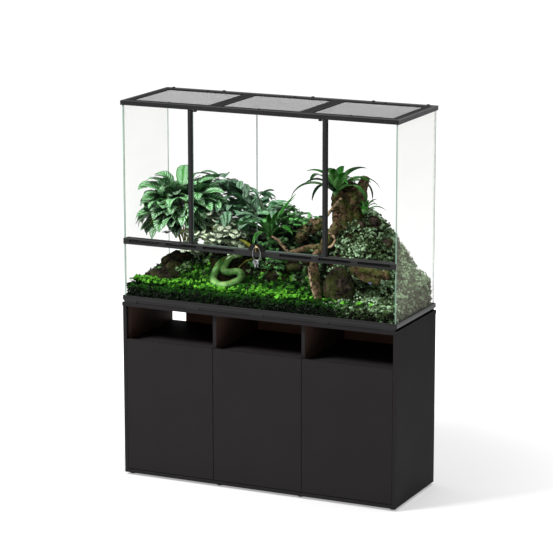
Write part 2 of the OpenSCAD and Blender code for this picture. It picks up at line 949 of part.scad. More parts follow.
// The bank as one closed solid: a grid of points over a flat underside
module bank_solid(lift = 0) {
    row = bank_ny + 1;
    top = [for (i = [0:bank_nx]) for (j = [0:bank_ny]) bank_point(i, j)];
    low = [for (p = top) [p[0], p[1], bed_z + seat]];
    n = len(top);
    faces = concat(
        [for (i = [0:bank_nx - 1]) for (j = [0:bank_ny - 1]) each
            [[i * row + j, (i + 1) * row + j + 1, (i + 1) * row + j],
             [i * row + j, i * row + j + 1, (i + 1) * row + j + 1]]],
        [for (i = [0:bank_nx - 1]) for (j = [0:bank_ny - 1]) each
            [[n + i * row + j, n + (i + 1) * row + j, n + (i + 1) * row + j + 1],
             [n + i * row + j, n + (i + 1) * row + j + 1, n + i * row + j + 1]]],
        [for (i = [0:bank_nx - 1]) each
            [[i * row, (i + 1) * row, n + (i + 1) * row], [i * row, n + (i + 1) * row, n + i * row]]],
        [for (i = [0:bank_nx - 1]) each
            [[i * row + bank_ny, n + (i + 1) * row + bank_ny, (i + 1) * row + bank_ny],
             [i * row + bank_ny, n + i * row + bank_ny, n + (i + 1) * row + bank_ny]]],
        [for (j = [0:bank_ny - 1]) each [[j, n + j, n + j + 1], [j, n + j + 1, j + 1]]],
        [for (j = [0:bank_ny - 1]) each
            let (a = bank_nx * row) [[a + j, a + j + 1, n + a + j + 1], [a + j, n + a + j + 1, n + a + j]]]
    );
    translate([0, 0, lift])
        polyhedron(concat(top, low), faces);
}

module earth_bank() {
    color("#2c3a1c")
        bank_solid();
}

// Low green carpet in front of the bank
module ground_cover() {
    y1 = -in_y + 24;
    color("#3f7a22")
        block([-in_x + bed_gap, -in_y + bed_gap, bed_z + seat], [in_x - bed_gap, y1, bed_z + cover_h]);
}

// ---------- planting: wood, stones and plants ----------

// Keeps what follows inside the glass and takes the ground away from it, so that it sits on the ground
module on_ground() {
    wall = 3;
    difference() {
        intersection() {
            union()
                children();
            block([-in_x + wall, -in_y + wall, bed_z + 2 * seat], [in_x - wall, in_y - wall, top_z - wall]);
        }
        bank_solid(seat);
    }
}

// Height of the ground's surface at a place
function ground_z(x, y) = bed_z + seat + (y > bank_foot(x) - bank_toe ? bank_height(x, y) : 0);

// A rounded limb through a list of [x, y, z, radius]
module branch(points) {
    for (i = [0:len(points) - 2])
        hull()
            for (p = [points[i], points[i + 1]])
                translate([p[0], p[1], p[2]])
                    sphere(r = p[3], $fn = 8);
}

// The stump stands on the crest of the hill, and its short fork carries a rosette
stump_x = in_x - 292;
stump_y = -in_y + 253;
stump_z = ground_z(stump_x, stump_y) - 26;
fork = [stump_x - 50, stump_y - 52, stump_z + 122];
fork_r = 22;

// A forked stump with roots that run down the front of the hill
module driftwood() {
    x = stump_x;
    y = stump_y;
    z = stump_z;
    color("#5a4330")
        on_ground() {
            branch([[x, y, z - 25, 62], [x + 4, y + 2, z + 45, 50], [x + 12, y + 6, z + 105, 40]]);
            branch([[x + 12, y + 6, z + 100, 36], [x + 34, y + 10, z + 140, 24],
                    [x + 50, y + 12, z + 184, 14]]);
            branch([[x - 6, y - 6, z + 60, 40], concat(fork, fork_r)]);
            branch([[x - 42, y - 45, z - 5, 24], [x - 80, y - 105, z - 85, 19],
                    [x - 96, y - 160, z - 150, 18], [x - 54, y - 204, z - 288, 16]]);
            branch([[x + 10, y - 55, z - 10, 20], [x + 52, y - 130, z - 95, 16],
                    [x + 92, y - 190, z - 152, 14], [x + 150, y - 206, z - 178, 12],
                    [x + 204, y - 204, z - 184, 12]]);
        }
}

// A stone made of lumps round its middle, which lies a little above the ground
module stone(x, y, up, s, turns) {
    translate([x, y, ground_z(x, y) + up])
        for (k = turns)
            rotate([0, 12 * sin(k * 80), k * 51])
                hull() {
                    translate([0.30 * s[0], 0, 0])
                        scale([s[0], s[1] * 0.72, s[2]])
                            sphere(r = 0.55, $fn = 7);
                    translate([-0.25 * s[0], 0.12 * s[1], -0.1 * s[2]])
                        scale([s[0] * 0.7, s[1], s[2] * 0.8])
                            sphere(r = 0.5, $fn = 6);
                }
}

// Two stones on the left and one against the foot of the hill
module rocks() {
    color("#6a6254")
        on_ground() {
            stone(-in_x + 105, -in_y + 131, 12, [130, 84, 62], [0, 7]);
            stone(-in_x + 102, -in_y + 215, 16, [84, 58, 92], [1, 7]);
            stone(in_x - 268, -in_y + 77, 34, [92, 62, 124], [2:4]);
        }
}

// A pointed leaf: a narrow stalk, widest at its belly, with a drooping tip
module blade(reach, rise, drop, w, belly = 0.5, t = 2.4) {
    hull() {
        cube([t, w * 0.2, t], center = true);
        translate([reach * belly, 0, rise])
            cube([t, w, t], center = true);
    }
    hull() {
        translate([reach * belly, 0, rise])
            cube([t, w, t], center = true);
        translate([reach, 0, rise - drop])
            cube([t, w * 0.1, t], center = true);
    }
}

// Leaves that point every way from one stem, the first ones hanging by an angle and the last ones up
module bush(count, reach, w, hang) {
    for (k = [0:count - 1])
        let (long = reach * (1 + 0.14 * sin(k * 140)))
            rotate([0, hang - (hang + 70) * pow(k / (count - 1), 1.2), k * golden_turn])
                blade(long, reach * 0.16, reach * 0.26, w * (1 + 0.15 * cos(k * 90)), 0.62);
}

// A bushy plant over the left-hand stones, on a stem that leans to the front
module leafy_plant() {
    x = -in_x + 160;
    y = -in_y + 268;
    lean = 82;
    crown_z = ground_z(x, y) + 185;
    color("#3c7a4a")
        on_ground() {
            branch([[x, y, ground_z(x, y) - 10, 11], [x, y - lean, crown_z, 9],
                    [x, y - lean, crown_z + 66, 9]]);
            translate([x, y - lean, crown_z])
                bush(14, 172, 60, 28);
            translate([x, y - lean, crown_z + 60])
                bush(12, 150, 56, 4);
        }
}

// Long leaves that arch out from one root on the crest: [azimuth, reach, rise, drop]
module arching_plant() {
    x = -in_x + 423;
    y = -in_y + 317;
    color("#2f6b3f")
        on_ground()
            translate([x, y, ground_z(x, y)]) {
                translate([0, 0, -10])
                    cylinder(r = 10, h = 66, $fn = 12);
                translate([0, 0, 52])
                    for (leaf = [[182, 165, 178, 24], [212, 150, 152, 40], [148, 130, 188, 60],
                                 [250, 105, 130, 60], [8, 84, 166, 120], [90, 50, 190, 30]])
                        rotate([0, 0, leaf[0]])
                            blade(leaf[1], leaf[2], leaf[3], 58);
            }
}

// A rosette of strap leaves that leave a short cup, in one ring or in two
module rosette(count, reach, rise, w, rings) {
    cylinder(r1 = 10, r2 = 16, h = 38, $fn = 12);
    for (ring = [0:rings - 1])
        for (k = [0:count - 1])
            translate([0, 0, 9 + 4 * ring])
                rotate([0, 0, (k + ring / 2) * 360 / count])
                    blade(reach * (1 - 0.25 * ring) * (1 + 0.14 * sin(k * 140)),
                          rise * (1 + 0.4 * ring), rise * (0.9 - 0.4 * ring), w * (1 - 0.2 * ring));
}

// One rosette on the crest in the middle, and one on the fork of the stump
module rosette_plants() {
    x = -44;
    y = -in_y + 233;
    neck = 16;
    color("#2f8a35") {
        on_ground()
            translate([x, y, ground_z(x, y)]) {
                translate([0, 0, -10])
                    cylinder(r = 9, h = neck + 12, $fn = 12);
                translate([0, 0, neck])
                    rosette(8, 158, 124, 22, 2);
            }
        translate([fork[0], fork[1], fork[2] + fork_r * cos(22.5) + seat])
            rotate([0, 0, 15])
                rosette(9, 160, 84, 21, 1);
    }
}

// ---------- snake ----------

// The snake's loop, seen from above: [x, y] from its middle, tail first
snake_path = [
    [-14, 46], [-32, 38], [-44, 28], [-52, 15], [-59, 0], [-60, -18], [-46, -34],
    [-18, -44], [10, -40], [35, -28], [53, -16], [59, 0], [43, 9], [22, 8],
    [-2, 3], [-22, 6], [-25, 16], [-17, 28], [-2, 40], [22, 50], [42, 54]
];
snake_x = -in_x + 403;
snake_y = -in_y + 123;

// A point on the smooth curve through the path
function curve_point(p, u) =
    let (i = min(len(p) - 2, floor(u)), t = u - i,
         a = p[max(0, i - 1)], b = p[i], c = p[i + 1], d = p[min(len(p) - 1, i + 2)])
    0.5 * (2 * b + (c - a) * t + (2 * a - 5 * b + 4 * c - d) * t * t + (3 * b - a - 3 * c + d) * t * t * t);

// The body thins towards the tail, and the neck is a little thinner than the head
function snake_girth(u) = snake_r * (0.75 + 0.25 * ease(0, 3, u)) * (1 - 0.28 * ease(17, 19, u));

// The body lies on the ground, and its last turn lies on the turn below it
function snake_spot(u) =
    let (q = curve_point(snake_path, u), x = snake_x + q[0], y = snake_y + q[1], r = snake_girth(u))
    [x, y, ground_z(x, y) + 1.1 * r + 0.8 * snake_r * ease(15, 18, u), r];

module snake() {
    steps = 50;
    last = len(snake_path) - 1;
    color("#4f9a3a")
        on_ground()
            branch([for (k = [0:steps]) snake_spot(k * last / steps)]);
}

left_side_panel();
right_side_panel();
top_panel();
bottom_panel();
divider_left();
divider_right();
niche_shelves();
back_panel();
door_left();
door_middle();
door_right();
hinge_cups_left();
hinge_cups_middle();
hinge_cups_right();
hinge_arms();
latch_bodies();
latch_plunger_left();
latch_plunger_middle();
latch_plunger_right();
cabinet_feet();
base_frame();
base_frame_feet();
bottom_glass();
left_glass();
right_glass();
back_glass();
lower_front_glass();
fixed_pane_left();
fixed_pane_right();
vent_bar();
vent_grilles();
hinge_post_left();
hinge_post_right();
glass_door_left();
glass_door_right();
door_pivots_left();
door_pivots_right();
door_catch();
lock_housing();
lock_cylinder();
lock_key();
key_ring();
spare_keys();
top_frame();
lid_frame_left();
lid_frame_middle();
lid_frame_right();
lid_mesh_left();
lid_mesh_middle();
lid_mesh_right();
cable_inlets();
soil_bed();
earth_bank();
ground_cover();
driftwood();
rocks();
leafy_plant();
arching_plant();
rosette_plants();
snake();
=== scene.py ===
# %% [markdown]
# # A planted terrarium on a cabinet
# The object is a glass terrarium with hinged doors and a mesh top, on a black cabinet with three
# open niches and three doors. The frame below holds every board, rail, pane, hinge and lid at its
# real size, so this lesson dresses them with finishes, and models what grows and lies inside.
# Everything new is a surface worked out with numpy: one formula gives a whole array of points.

# %% Load the frame
import math

import bpy
import numpy as np
from mathutils import Matrix, Vector


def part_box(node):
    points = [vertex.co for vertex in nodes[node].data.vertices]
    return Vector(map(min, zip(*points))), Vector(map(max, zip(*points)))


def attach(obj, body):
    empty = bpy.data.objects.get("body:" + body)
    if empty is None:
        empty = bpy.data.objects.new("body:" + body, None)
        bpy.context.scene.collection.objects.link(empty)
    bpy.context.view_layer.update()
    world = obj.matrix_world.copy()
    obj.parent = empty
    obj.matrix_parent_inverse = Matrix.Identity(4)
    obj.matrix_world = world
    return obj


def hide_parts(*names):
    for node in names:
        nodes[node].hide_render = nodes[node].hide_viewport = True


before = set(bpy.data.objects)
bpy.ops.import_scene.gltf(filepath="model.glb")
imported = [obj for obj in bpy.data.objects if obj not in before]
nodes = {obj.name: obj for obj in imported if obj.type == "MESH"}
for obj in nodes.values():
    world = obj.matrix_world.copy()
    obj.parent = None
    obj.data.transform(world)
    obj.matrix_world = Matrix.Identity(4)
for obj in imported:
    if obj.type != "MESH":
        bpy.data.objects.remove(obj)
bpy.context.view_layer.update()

MM = 0.001

# %% [markdown]
# ## Camera
# A product photo is taken from far away with a long lens, so upright edges stay nearly parallel.
# The lens and the place were worked out from the lines of the cabinet and the tank. The camera's
# axes are built from three turns: round the object, down, and a very small roll.

# %% Camera
camera_place = Vector((4.23992, -9.05997, 3.09457))
camera_turn = math.radians(25.1189)
camera_pitch = math.radians(12.6253)
camera_roll = math.radians(-0.0514)
camera_data = bpy.data.cameras.new("camera")
camera_data.sensor_fit = "HORIZONTAL"
camera_data.sensor_width = 36
camera_data.lens = 164.919
camera_data.clip_start = 1
camera_data.clip_end = 60
camera = bpy.data.objects.new("camera", camera_data)
bpy.context.scene.collection.objects.link(camera)
turn = Matrix.Rotation(camera_turn, 4, "Z") @ Matrix.Rotation(math.pi / 2 - camera_pitch, 4, "X")
camera.matrix_world = Matrix.Translation(camera_place) @ turn @ Matrix.Rotation(camera_roll, 4, "Z")
bpy.context.scene.camera = camera
print("camera", round((camera_place - Vector((0, 0, 0.78))).length, 2), "m from the object")

# %% [markdown]
# ## Shader maths as plain expressions
# A material here is a tree of nodes. Written out one by one, a pattern of ten sums takes forty
# lines. The class Value wraps one output socket, so that a + b * 2 adds the Math nodes by itself.
# The class Finish holds one material, and its method node() makes any other node.

# %% Value: a socket that can be added and multiplied
class Value:
    """One output of a node. An expression on it adds Math nodes to the same tree."""

    def __init__(self, finish, socket):
        self.finish = finish
        self.socket = socket

    def math(self, operation, *others):
        """The result of a Math node on this value and the others."""
        return self.finish.node("Math", {"operation": operation}, dict(enumerate((self, *others))))

    def __add__(self, other):
        return self.math("ADD", other)

    def __sub__(self, other):
        return self.math("SUBTRACT", other)

    def __rsub__(self, other):
        return self.math("MULTIPLY_ADD", -1.0, other)

    def __mul__(self, other):
        return self.math("MULTIPLY", other)

    def __abs__(self):
        return self.math("ABSOLUTE")

    def wave(self):
        """A smooth wave from 0 to 1, with one crest for each unit."""
        return (self * (2 * math.pi)).math("SINE") * 0.5 + 0.5

    def rises(self, low, high):
        """A smooth step from 0 at low to 1 at high. Low may be the greater one."""
        settings = {"interpolation_type": "SMOOTHSTEP"}
        limits = {"Value": self, "From Min": low, "From Max": high}
        return self.finish.node("MapRange", settings, limits)

    __radd__ = __add__
    __rmul__ = __mul__


# %% Finish: a material and its node maker
def colour(red, green, blue):
    """A screen colour, each channel 0 to 255, as the linear light that a shader takes."""
    light = [c / 12.92 if c < 0.04045 else ((c + 0.055) / 1.055) ** 2.4
             for c in (red / 255, green / 255, blue / 255)]
    return (*light, 1.0)


class Finish:
    """One material. node() adds any node, and the other methods name the usual ones."""

    def __init__(self, name):
        self.material = bpy.data.materials.new(name)
        self.material.use_nodes = True
        self.tree = self.material.node_tree
        self.tree.nodes.clear()
        self.place = self.node("TexCoord", output="Object")

    def node(self, kind, settings=None, sockets=None, output=0):
        """A node of that kind, its settings made first and then its sockets set or linked."""
        made = self.tree.nodes.new("ShaderNode" + kind)
        for name, value in (settings or {}).items():
            if name == "stops":
                made.color_ramp.elements[1].position = 1
                while len(made.color_ramp.elements) < len(value):
                    made.color_ramp.elements.new(0.5)
                for stop, (position, shade) in zip(made.color_ramp.elements, value):
                    stop.position = position
                    stop.color = shade
            else:
                setattr(made, name, value)
        for name, value in (sockets or {}).items():
            if isinstance(value, Value):
                self.tree.links.new(value.socket, made.inputs[name])
            else:
                made.inputs[name].default_value = value
        return Value(self, made.outputs[output])

    def mix(self, factor, first, second):
        """A colour between two."""
        return self.node("Mix", {"data_type": "RGBA"}, {0: factor, 6: first, 7: second}, 2)

    def ramp(self, factor, stops):
        """A colour from a list of (position, colour)."""
        return self.node("ValToRGB", {"stops": stops}, {"Fac": factor})

    def noise(self, scale, detail=3.0, roughness=0.55, at=None):
        """Cloudy noise round 0.5, with so many lumps to a metre."""
        sockets = {"Vector": at or self.place, "Scale": scale, "Detail": detail,
                   "Roughness": roughness}
        return self.node("TexNoise", {}, sockets)

    def cells(self, scale, at=None):
        """Distance to the middle of the nearest of many random cells, so many to a metre."""
        sockets = {"Vector": at or self.place, "Scale": scale}
        return self.node("TexVoronoi", {"feature": "F1"}, sockets)

    def stretched(self, x, y, z):
        """The place with each axis scaled, for grain that runs one way."""
        return self.node("Mapping", {}, {"Vector": self.place, "Scale": (x, y, z)})

    def axes(self, vector):
        """The three numbers of a vector."""
        split = self.node("SeparateXYZ", {}, {0: vector})
        return [Value(self, socket) for socket in split.socket.node.outputs]

    def bump(self, height, depth):
        """Small relief, depth metres from its lowest to its highest."""
        return self.node("Bump", {}, {"Height": height, "Distance": depth, "Strength": 1.0})

    def along_leaf(self):
        """The two numbers of the leaf pattern: u from stalk to tip, v across from 0 to 1."""
        return self.axes(self.node("UVMap", {"uv_map": "leaf"}))[:2]

    def attribute(self, name):
        """A number stored on the points of the mesh."""
        return self.node("Attribute", {"attribute_name": name}, output="Fac")

    def surface(self, sockets):
        """A Principled shader with those sockets, on the material's output."""
        return self.close(self.node("BsdfPrincipled", {}, sockets))

    def close(self, shader):
        """Puts a shader on the material's output."""
        output = self.tree.nodes.new("ShaderNodeOutputMaterial")
        self.tree.links.new(shader.socket, output.inputs["Surface"])
        return self.material


print("Value and Finish are ready")

# %% [markdown]
# ## Stage and light
# The object stands in an even white studio. The world is pure white to the camera and through
# glass, and much weaker as a light and in reflections, so that dark gaps stay dark. The floor adds
# a plain glow for the camera, so that it reads as white and still keeps the shadow under the
# cabinet. A large soft lamp from the upper left gives the planting its shape, and a weaker one
# from above fills it.

# %% World, floor and lamps
world = bpy.data.worlds.new("studio")
bpy.context.scene.world = world
world.use_nodes = True
world.node_tree.nodes.clear()


def add_to(tree, kind, links=()):
    """A node in a tree, with (input, source socket) links."""
    made = tree.nodes.new("ShaderNode" + kind)
    for name, source in links:
        tree.links.new(source, made.inputs[name])
    return made


studio_light = 0.2
rays = add_to(world.node_tree, "LightPath")
seen = add_to(world.node_tree, "Math", [(0, rays.outputs["Is Camera Ray"]),
                                        (1, rays.outputs["Is Transmission Ray"])])
level = add_to(world.node_tree, "MapRange", [("Value", seen.outputs[0])])
level.inputs["To Min"].default_value = studio_light
level.inputs["To Max"].default_value = 1.0
backdrop = add_to(world.node_tree, "Background", [("Strength", level.outputs[0])])
backdrop.inputs["Color"].default_value = (1, 1, 1, 1)
add_to(world.node_tree, "OutputWorld", [("Surface", backdrop.outputs[0])])

floor_finish = Finish("studio_floor")
floor_rays = floor_finish.tree.nodes.new("ShaderNodeLightPath")
plain, paper = [floor_finish.node("BsdfDiffuse", {}, {"Color": (shade, shade, shade, 1)})
                for shade in (0.7, 0.46)]
far = floor_finish.node("VectorMath", {"operation": "LENGTH"}, {0: floor_finish.place}, "Value")
faint, strong = [floor_finish.node("Emission", {}, {"Color": (1, 1, 1, 1), "Strength": strength})
                 for strength in (0.4, 0.95)]
glow = floor_finish.node("MixShader", {}, {0: far.rises(0.7, 2.4), 1: faint, 2: strong})
lit = floor_finish.node("AddShader", {}, {0: paper, 1: glow})
camera_ray = Value(floor_finish, floor_rays.outputs["Is Camera Ray"])
floor_finish.close(floor_finish.node("MixShader", {}, {0: camera_ray, 1: plain, 2: lit}))

floor_reach = 14
floor_drop = 0.0004    # the floor lies this far under the feet, so that no two faces coincide
floor_mesh = bpy.data.meshes.new("floor")
floor_mesh.from_pydata([(x * floor_reach, y * floor_reach, -floor_drop)
                        for x, y in ((-1, -1), (1, -1), (1, 1), (-1, 1))], [], [(0, 1, 2, 3)])
floor_mesh.materials.append(floor_finish.material)
floor = bpy.data.objects.new("floor", floor_mesh)
bpy.context.scene.collection.objects.link(floor)


def soft_lamp(name, place, aim, width, power):
    """A square lamp at a place that shines towards a point."""
    data = bpy.data.lights.new(name, "AREA")
    data.size = width
    data.energy = power
    lamp = bpy.data.objects.new(name, data)
    lamp.location = place
    lamp.rotation_euler = (Vector(aim) - Vector(place)).to_track_quat("-Z", "Y").to_euler()
    bpy.context.scene.collection.objects.link(lamp)


soft_lamp("key_lamp", (-2.2, -2.6, 4.2), (0, 0, 1.0), 1.4, 370)
soft_lamp("top_lamp", (0.6, 0.4, 4.0), (0, 0, 1.0), 2.0, 150)
bpy.context.scene.view_settings.view_transform = "Standard"
print("world, floor and two lamps")

# %% [markdown]
# ## Boards and plastics
# The cabinet is chipboard with a black melamine face. Its emboss is so fine that it shows only as
# a soft sheen, so it is a small bump of noise. The grain is two noises: one for the emboss and one
# for the slow cloudiness of a wiped surface. The plastics use the same recipe with other numbers.
# The niches' inner faces and the rails' end faces get a lighter tone of painted light, set for the
# view from the front right, where they catch light that two lamps don't give.

# %% Dull finishes from one recipe
board_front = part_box("divider_left")[0].y
shelf_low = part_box("niche_shelves")[0].z
side_inside = (0.5938, 0.5932)    # between the side panels: none at the first, all at the second
# The niches' floors: a dark grey as a faint painted reflection
niche_floor_reflection = colour(38, 36, 36)
turned = (0.6, 0.9)               # the share of a normal from which a face looks that way


def dull(name, shade, lighter, roughness, gloss, grain, depth, ends=None, niche=None):
    """A dull moulded or printed surface: cloudy colour, uneven sheen and a fine grain.

    ends is painted light: the colour of faces that look along X, and faces that look up take a
    tenth of it. niche is painted light on the faces inside the niches, apart from those that look
    backwards. The floor of a niche is dark grey, a faint painted reflection."""
    finish = Finish(name)
    cloud = finish.noise(6, 2)
    speck = finish.noise(grain, 2, 0.6)
    tint = finish.mix(cloud * 0.7 + speck * 0.3, shade, lighter)
    # Painted light: faces that look along X are lighter, and those that look up a little lighter
    if ends:
        x, _, z = finish.axes(finish.node("TexCoord", output="Normal"))
        tint = finish.mix(abs(x).math("MAXIMUM", z * 0.66).rises(*turned), tint, ends)
    # Painted light inside the niches: lighter walls and back, and a floor in painted reflection
    if niche:
        x, y, z = finish.axes(finish.place)
        _, backwards, upwards = finish.axes(finish.node("TexCoord", output="Normal"))
        inner = (abs(x).rises(*side_inside) * y.rises(board_front + 0.0005, board_front + 0.001)
                 * z.rises(shelf_low - 0.002, shelf_low - 0.001) * (1 - backwards.rises(*turned)))
        tint = finish.mix(inner, tint, niche)
        tint = finish.mix(inner * upwards.rises(*turned), tint, niche_floor_reflection)
    return finish.surface({
        "Base Color": tint,
        "Roughness": cloud * 0.12 + speck * 0.08 + (roughness - 0.1),
        "Specular IOR Level": gloss,
        "Normal": finish.bump(speck, depth),
    })


# The niche colours are painted light on the niches' inner faces
board_finish = dull("melamine", colour(28, 26, 27), colour(35, 33, 34), 0.58, 0.1, 900, 0.00012,
                    niche=colour(86, 68, 60))
back_finish = dull("hardboard", colour(30, 22, 18), colour(42, 31, 24), 0.7, 0.1, 500, 0.0001,
                   niche=colour(146, 110, 90))
# The ends colour is painted light on the rails' end faces
rail_finish = dull("rail_plastic", colour(24, 24, 24), colour(32, 32, 32), 0.42, 0.28, 1500,
                   0.00006, ends=colour(112, 112, 113))
post_finish = dull("post_plastic", colour(24, 24, 24), colour(32, 32, 33), 0.38, 0.3, 1500, 0.00004)
lid_finish = dull("lid_plastic", colour(14, 14, 14), colour(20, 20, 20), 0.5, 0.1, 1500, 0.00006)
lock_finish = dull("lock_plastic", colour(14, 14, 14), colour(22, 22, 22), 0.4, 0.2, 1800, 0.00005)
foot_finish = dull("foot_plastic", colour(24, 24, 24), colour(32, 32, 32), 0.6, 0.25, 900, 0.00008)
grille_finish = dull("grille_plastic", colour(9, 9, 9), colour(14, 14, 14), 0.6, 0.1, 900, 0.00008)
rubber_finish = dull("inlet_rubber", colour(26, 26, 26), colour(34, 34, 34), 0.65, 0.2, 1200,
                     0.00006)
latch_finish = dull("latch_plastic", colour(118, 118, 120), colour(132, 132, 134), 0.5, 0.4, 900,
                    0.00005)
pin_finish = dull("plunger_plastic", colour(196, 196, 192), colour(212, 212, 208), 0.45, 0.4, 900,
                  0.00004)
wire_finish = dull("mesh_steel", colour(136, 136, 136), colour(148, 148, 148), 0.5, 0.2, 300,
                   0.00001)
print("twelve dull finishes")

# %% [markdown]
# ## Metals
# Keys, ring, hinges and lock cylinder are small, so only two things tell their metal apart from
# grey plastic: the Metallic socket at 1, and fine scratches that spread the reflection one way.

# %% Metals
def metal(name, shade, darker, roughness, grain):
    """A metal with fine scratches that run along X and worn darker patches."""
    finish = Finish(name)
    scratch = finish.noise(1, 3, 0.6, finish.stretched(grain / 30, grain, grain))
    patch = finish.noise(90, 3)
    return finish.surface({
        "Base Color": finish.mix(patch.rises(0.45, 0.75), shade, darker),
        "Metallic": 1.0,
        "Roughness": scratch * 0.15 + patch * 0.1 + (roughness - 0.1),
        "Normal": finish.bump(scratch, 0.00002),
    })


steel_finish = metal("key_steel", colour(214, 214, 216), colour(120, 120, 124), 0.34, 4000)
hinge_finish = metal("hinge_steel", colour(200, 200, 202), colour(170, 170, 172), 0.32, 3000)
brass_finish = metal("brass", colour(170, 146, 84), colour(120, 98, 50), 0.3, 4000)
print("three metals")

# %% [markdown]
# ## Glass
# Real glass bends light, but through thin flat panes nothing visible moves. So a pane is almost
# clear, with a thin veil of its tint, and only its narrow edges show the green of the glass. The
# edge mask reads the direction of each face, in the pane's own axes. The veil of the side panes
# is stronger, a warm pale painted reflection of the studio, set for the view from the front right.

# %% Panes with green edges
def pane(name, thin_axis, veil, tint, gloss):
    """Clear glass for a pane that is thin along axis 0, 1 or 2, with green edges.

    veil is how much of its tint covers what lies behind, and gloss how strongly it mirrors. The
    pale tint of the side panes is a painted reflection."""
    finish = Finish(name)
    facing = finish.axes(finish.node("TexCoord", output="Normal"))[thin_axis]
    edge = 1 - abs(facing).rises(0.3, 0.7)
    streak = finish.noise(3, 2, 0.5, finish.stretched(1, 1, 6))
    return finish.surface({
        "Base Color": finish.mix(edge, tint, colour(120, 150, 134)),
        "Alpha": edge * (0.82 - veil) + streak * (veil * 0.3) + veil * 0.85,
        "Roughness": streak * 0.04 + 0.03,
        "Specular IOR Level": gloss,
    })


front_glass = pane("glass_front", 1, 0.016, colour(40, 48, 44), 0.06)
back_glass = pane("glass_back", 1, 0.02, colour(60, 70, 64), 0.1)
# The side panes' pale warm tint is a painted reflection of the studio
side_glass = pane("glass_side", 0, 0.105, colour(240, 238, 216), 0.16)
floor_glass = pane("glass_floor", 2, 0.05, colour(200, 210, 204), 0.2)
print("four kinds of pane")

# %% [markdown]
# ## Dressing the frame
# The boards, rails, panes and fittings keep the frame's own meshes. A table says which finish each
# of them takes, and one loop puts it on.

# %% Which finish each node takes
dressing = {
    board_finish: ["left_side_panel", "right_side_panel", "top_panel", "bottom_panel",
                   "divider_left", "divider_right", "niche_shelves", "door_left", "door_middle",
                   "door_right"],
    back_finish: ["back_panel"],
    rail_finish: ["base_frame", "vent_bar", "top_frame"],
    post_finish: ["hinge_post_left", "hinge_post_right", "door_pivots_left", "door_pivots_right"],
    lid_finish: ["lid_frame_left", "lid_frame_middle", "lid_frame_right"],
    lock_finish: ["door_catch", "lock_housing"],
    foot_finish: ["cabinet_feet", "base_frame_feet"],
    grille_finish: ["vent_grilles"],
    rubber_finish: ["cable_inlets"],
    latch_finish: ["latch_bodies"],
    pin_finish: ["latch_plunger_left", "latch_plunger_middle", "latch_plunger_right"],
    hinge_finish: ["hinge_cups_left", "hinge_cups_middle", "hinge_cups_right", "hinge_arms"],
    brass_finish: ["lock_cylinder", "lock_key"],
    steel_finish: ["key_ring", "spare_keys"],
    front_glass: ["lower_front_glass", "fixed_pane_left", "fixed_pane_right", "glass_door_left",
                  "glass_door_right"],
    back_glass: ["back_glass"],
    side_glass: ["left_glass", "right_glass"],
    floor_glass: ["bottom_glass"],
}
for finish, names in dressing.items():
    for name in names:
        nodes[name].data.materials.clear()
        nodes[name].data.materials.append(finish)
print(sum(map(len, dressing.values())), "nodes have their finish")

# %% [markdown]
# ## Skins: one formula for leaves, stems, roots and the snake
# A leaf, a stem, a root and a snake are all the same kind of surface: a flat ring carried along a
# path. The ring has a half width along one direction and a half height along another. A leaf is a
# wide, thin ring and a stem is a round one. All rings of all leaves of a plant are one array
# (plant, row, column, 3), and fans close both ends, so every leaf is a closed solid.

# %% Skin faces and joins
from collections import namedtuple

Skin = namedtuple("Skin", "points faces pattern tone")
chance = np.random.default_rng(11)


def skin_faces(rows, columns):
    """Triangles of one closed skin: neighbouring rings joined, and a fan at each end."""
    i, j = np.meshgrid(np.arange(rows - 1), np.arange(columns), indexing="ij")
    a = (i * columns + j).ravel()
    b = (i * columns + (j + 1) % columns).ravel()
    here = np.arange(columns)
    after = (here + 1) % columns
    first_pole = np.full(columns, rows * columns)
    last_ring = (rows - 1) * columns
    return np.concatenate([
        np.stack([a, b, b + columns], 1),
        np.stack([a, b + columns, a + columns], 1),
        np.stack([first_pole, after, here], 1),
        np.stack([first_pole + 1, last_ring + here, last_ring + after], 1),
    ])


def join(skins):
    """Several skins as one, with their face numbers moved on."""
    starts = np.cumsum([0] + [len(skin.points) for skin in skins[:-1]])
    return Skin(np.concatenate([skin.points for skin in skins]),
                np.concatenate([skin.faces + start for skin, start in zip(skins, starts)]),
                np.concatenate([skin.pattern for skin in skins]),
                np.concatenate([skin.tone for skin in skins]))


def sweep(path, side, up, half_width, half_height, columns, tone=None, fold=0.0, around=False):
    """Rings along many paths: path + cos(a) * half_width * side + sin(a) * half_height * up.

    path, side and up are (count, rows, 3), the halves are (count, rows). fold lifts both edges
    of the ring. The pattern is (share of the path, share across), or round the ring if around."""
    count, rows, _ = path.shape
    angle = np.arange(columns) * 2 * np.pi / columns
    across = (half_width[..., None] * np.cos(angle))[..., None]
    height = (half_height[..., None] * np.sin(angle))[..., None] + fold * np.abs(across)
    rings = path[:, :, None] + across * side[:, :, None] + height * up[:, :, None]
    poles = path[:, [0, -1]]
    points = np.concatenate([rings.reshape(count, -1, 3), poles], axis=1)
    share = angle / (2 * np.pi) if around else (np.cos(angle) + 1) / 2
    run = np.linspace(0, 1, rows)
    grid = np.stack(np.meshgrid(run, share, indexing="ij"), -1).reshape(-1, 2)
    grid = np.concatenate([grid, [[0, 0.5], [1, 0.5]]])
    one = skin_faces(rows, columns)
    size = rows * columns + 2
    faces = (one[None] + (np.arange(count) * size)[:, None, None]).reshape(-1, 3)
    tone = chance.random(count) if tone is None else np.broadcast_to(tone, count)
    return Skin(points.reshape(-1, 3), faces, np.tile(grid, (count, 1)), np.repeat(tone, size))


ring_faces = len(skin_faces(12, 8))
print("a leaf of 12 rings with 8 points each has", ring_faces, "faces")

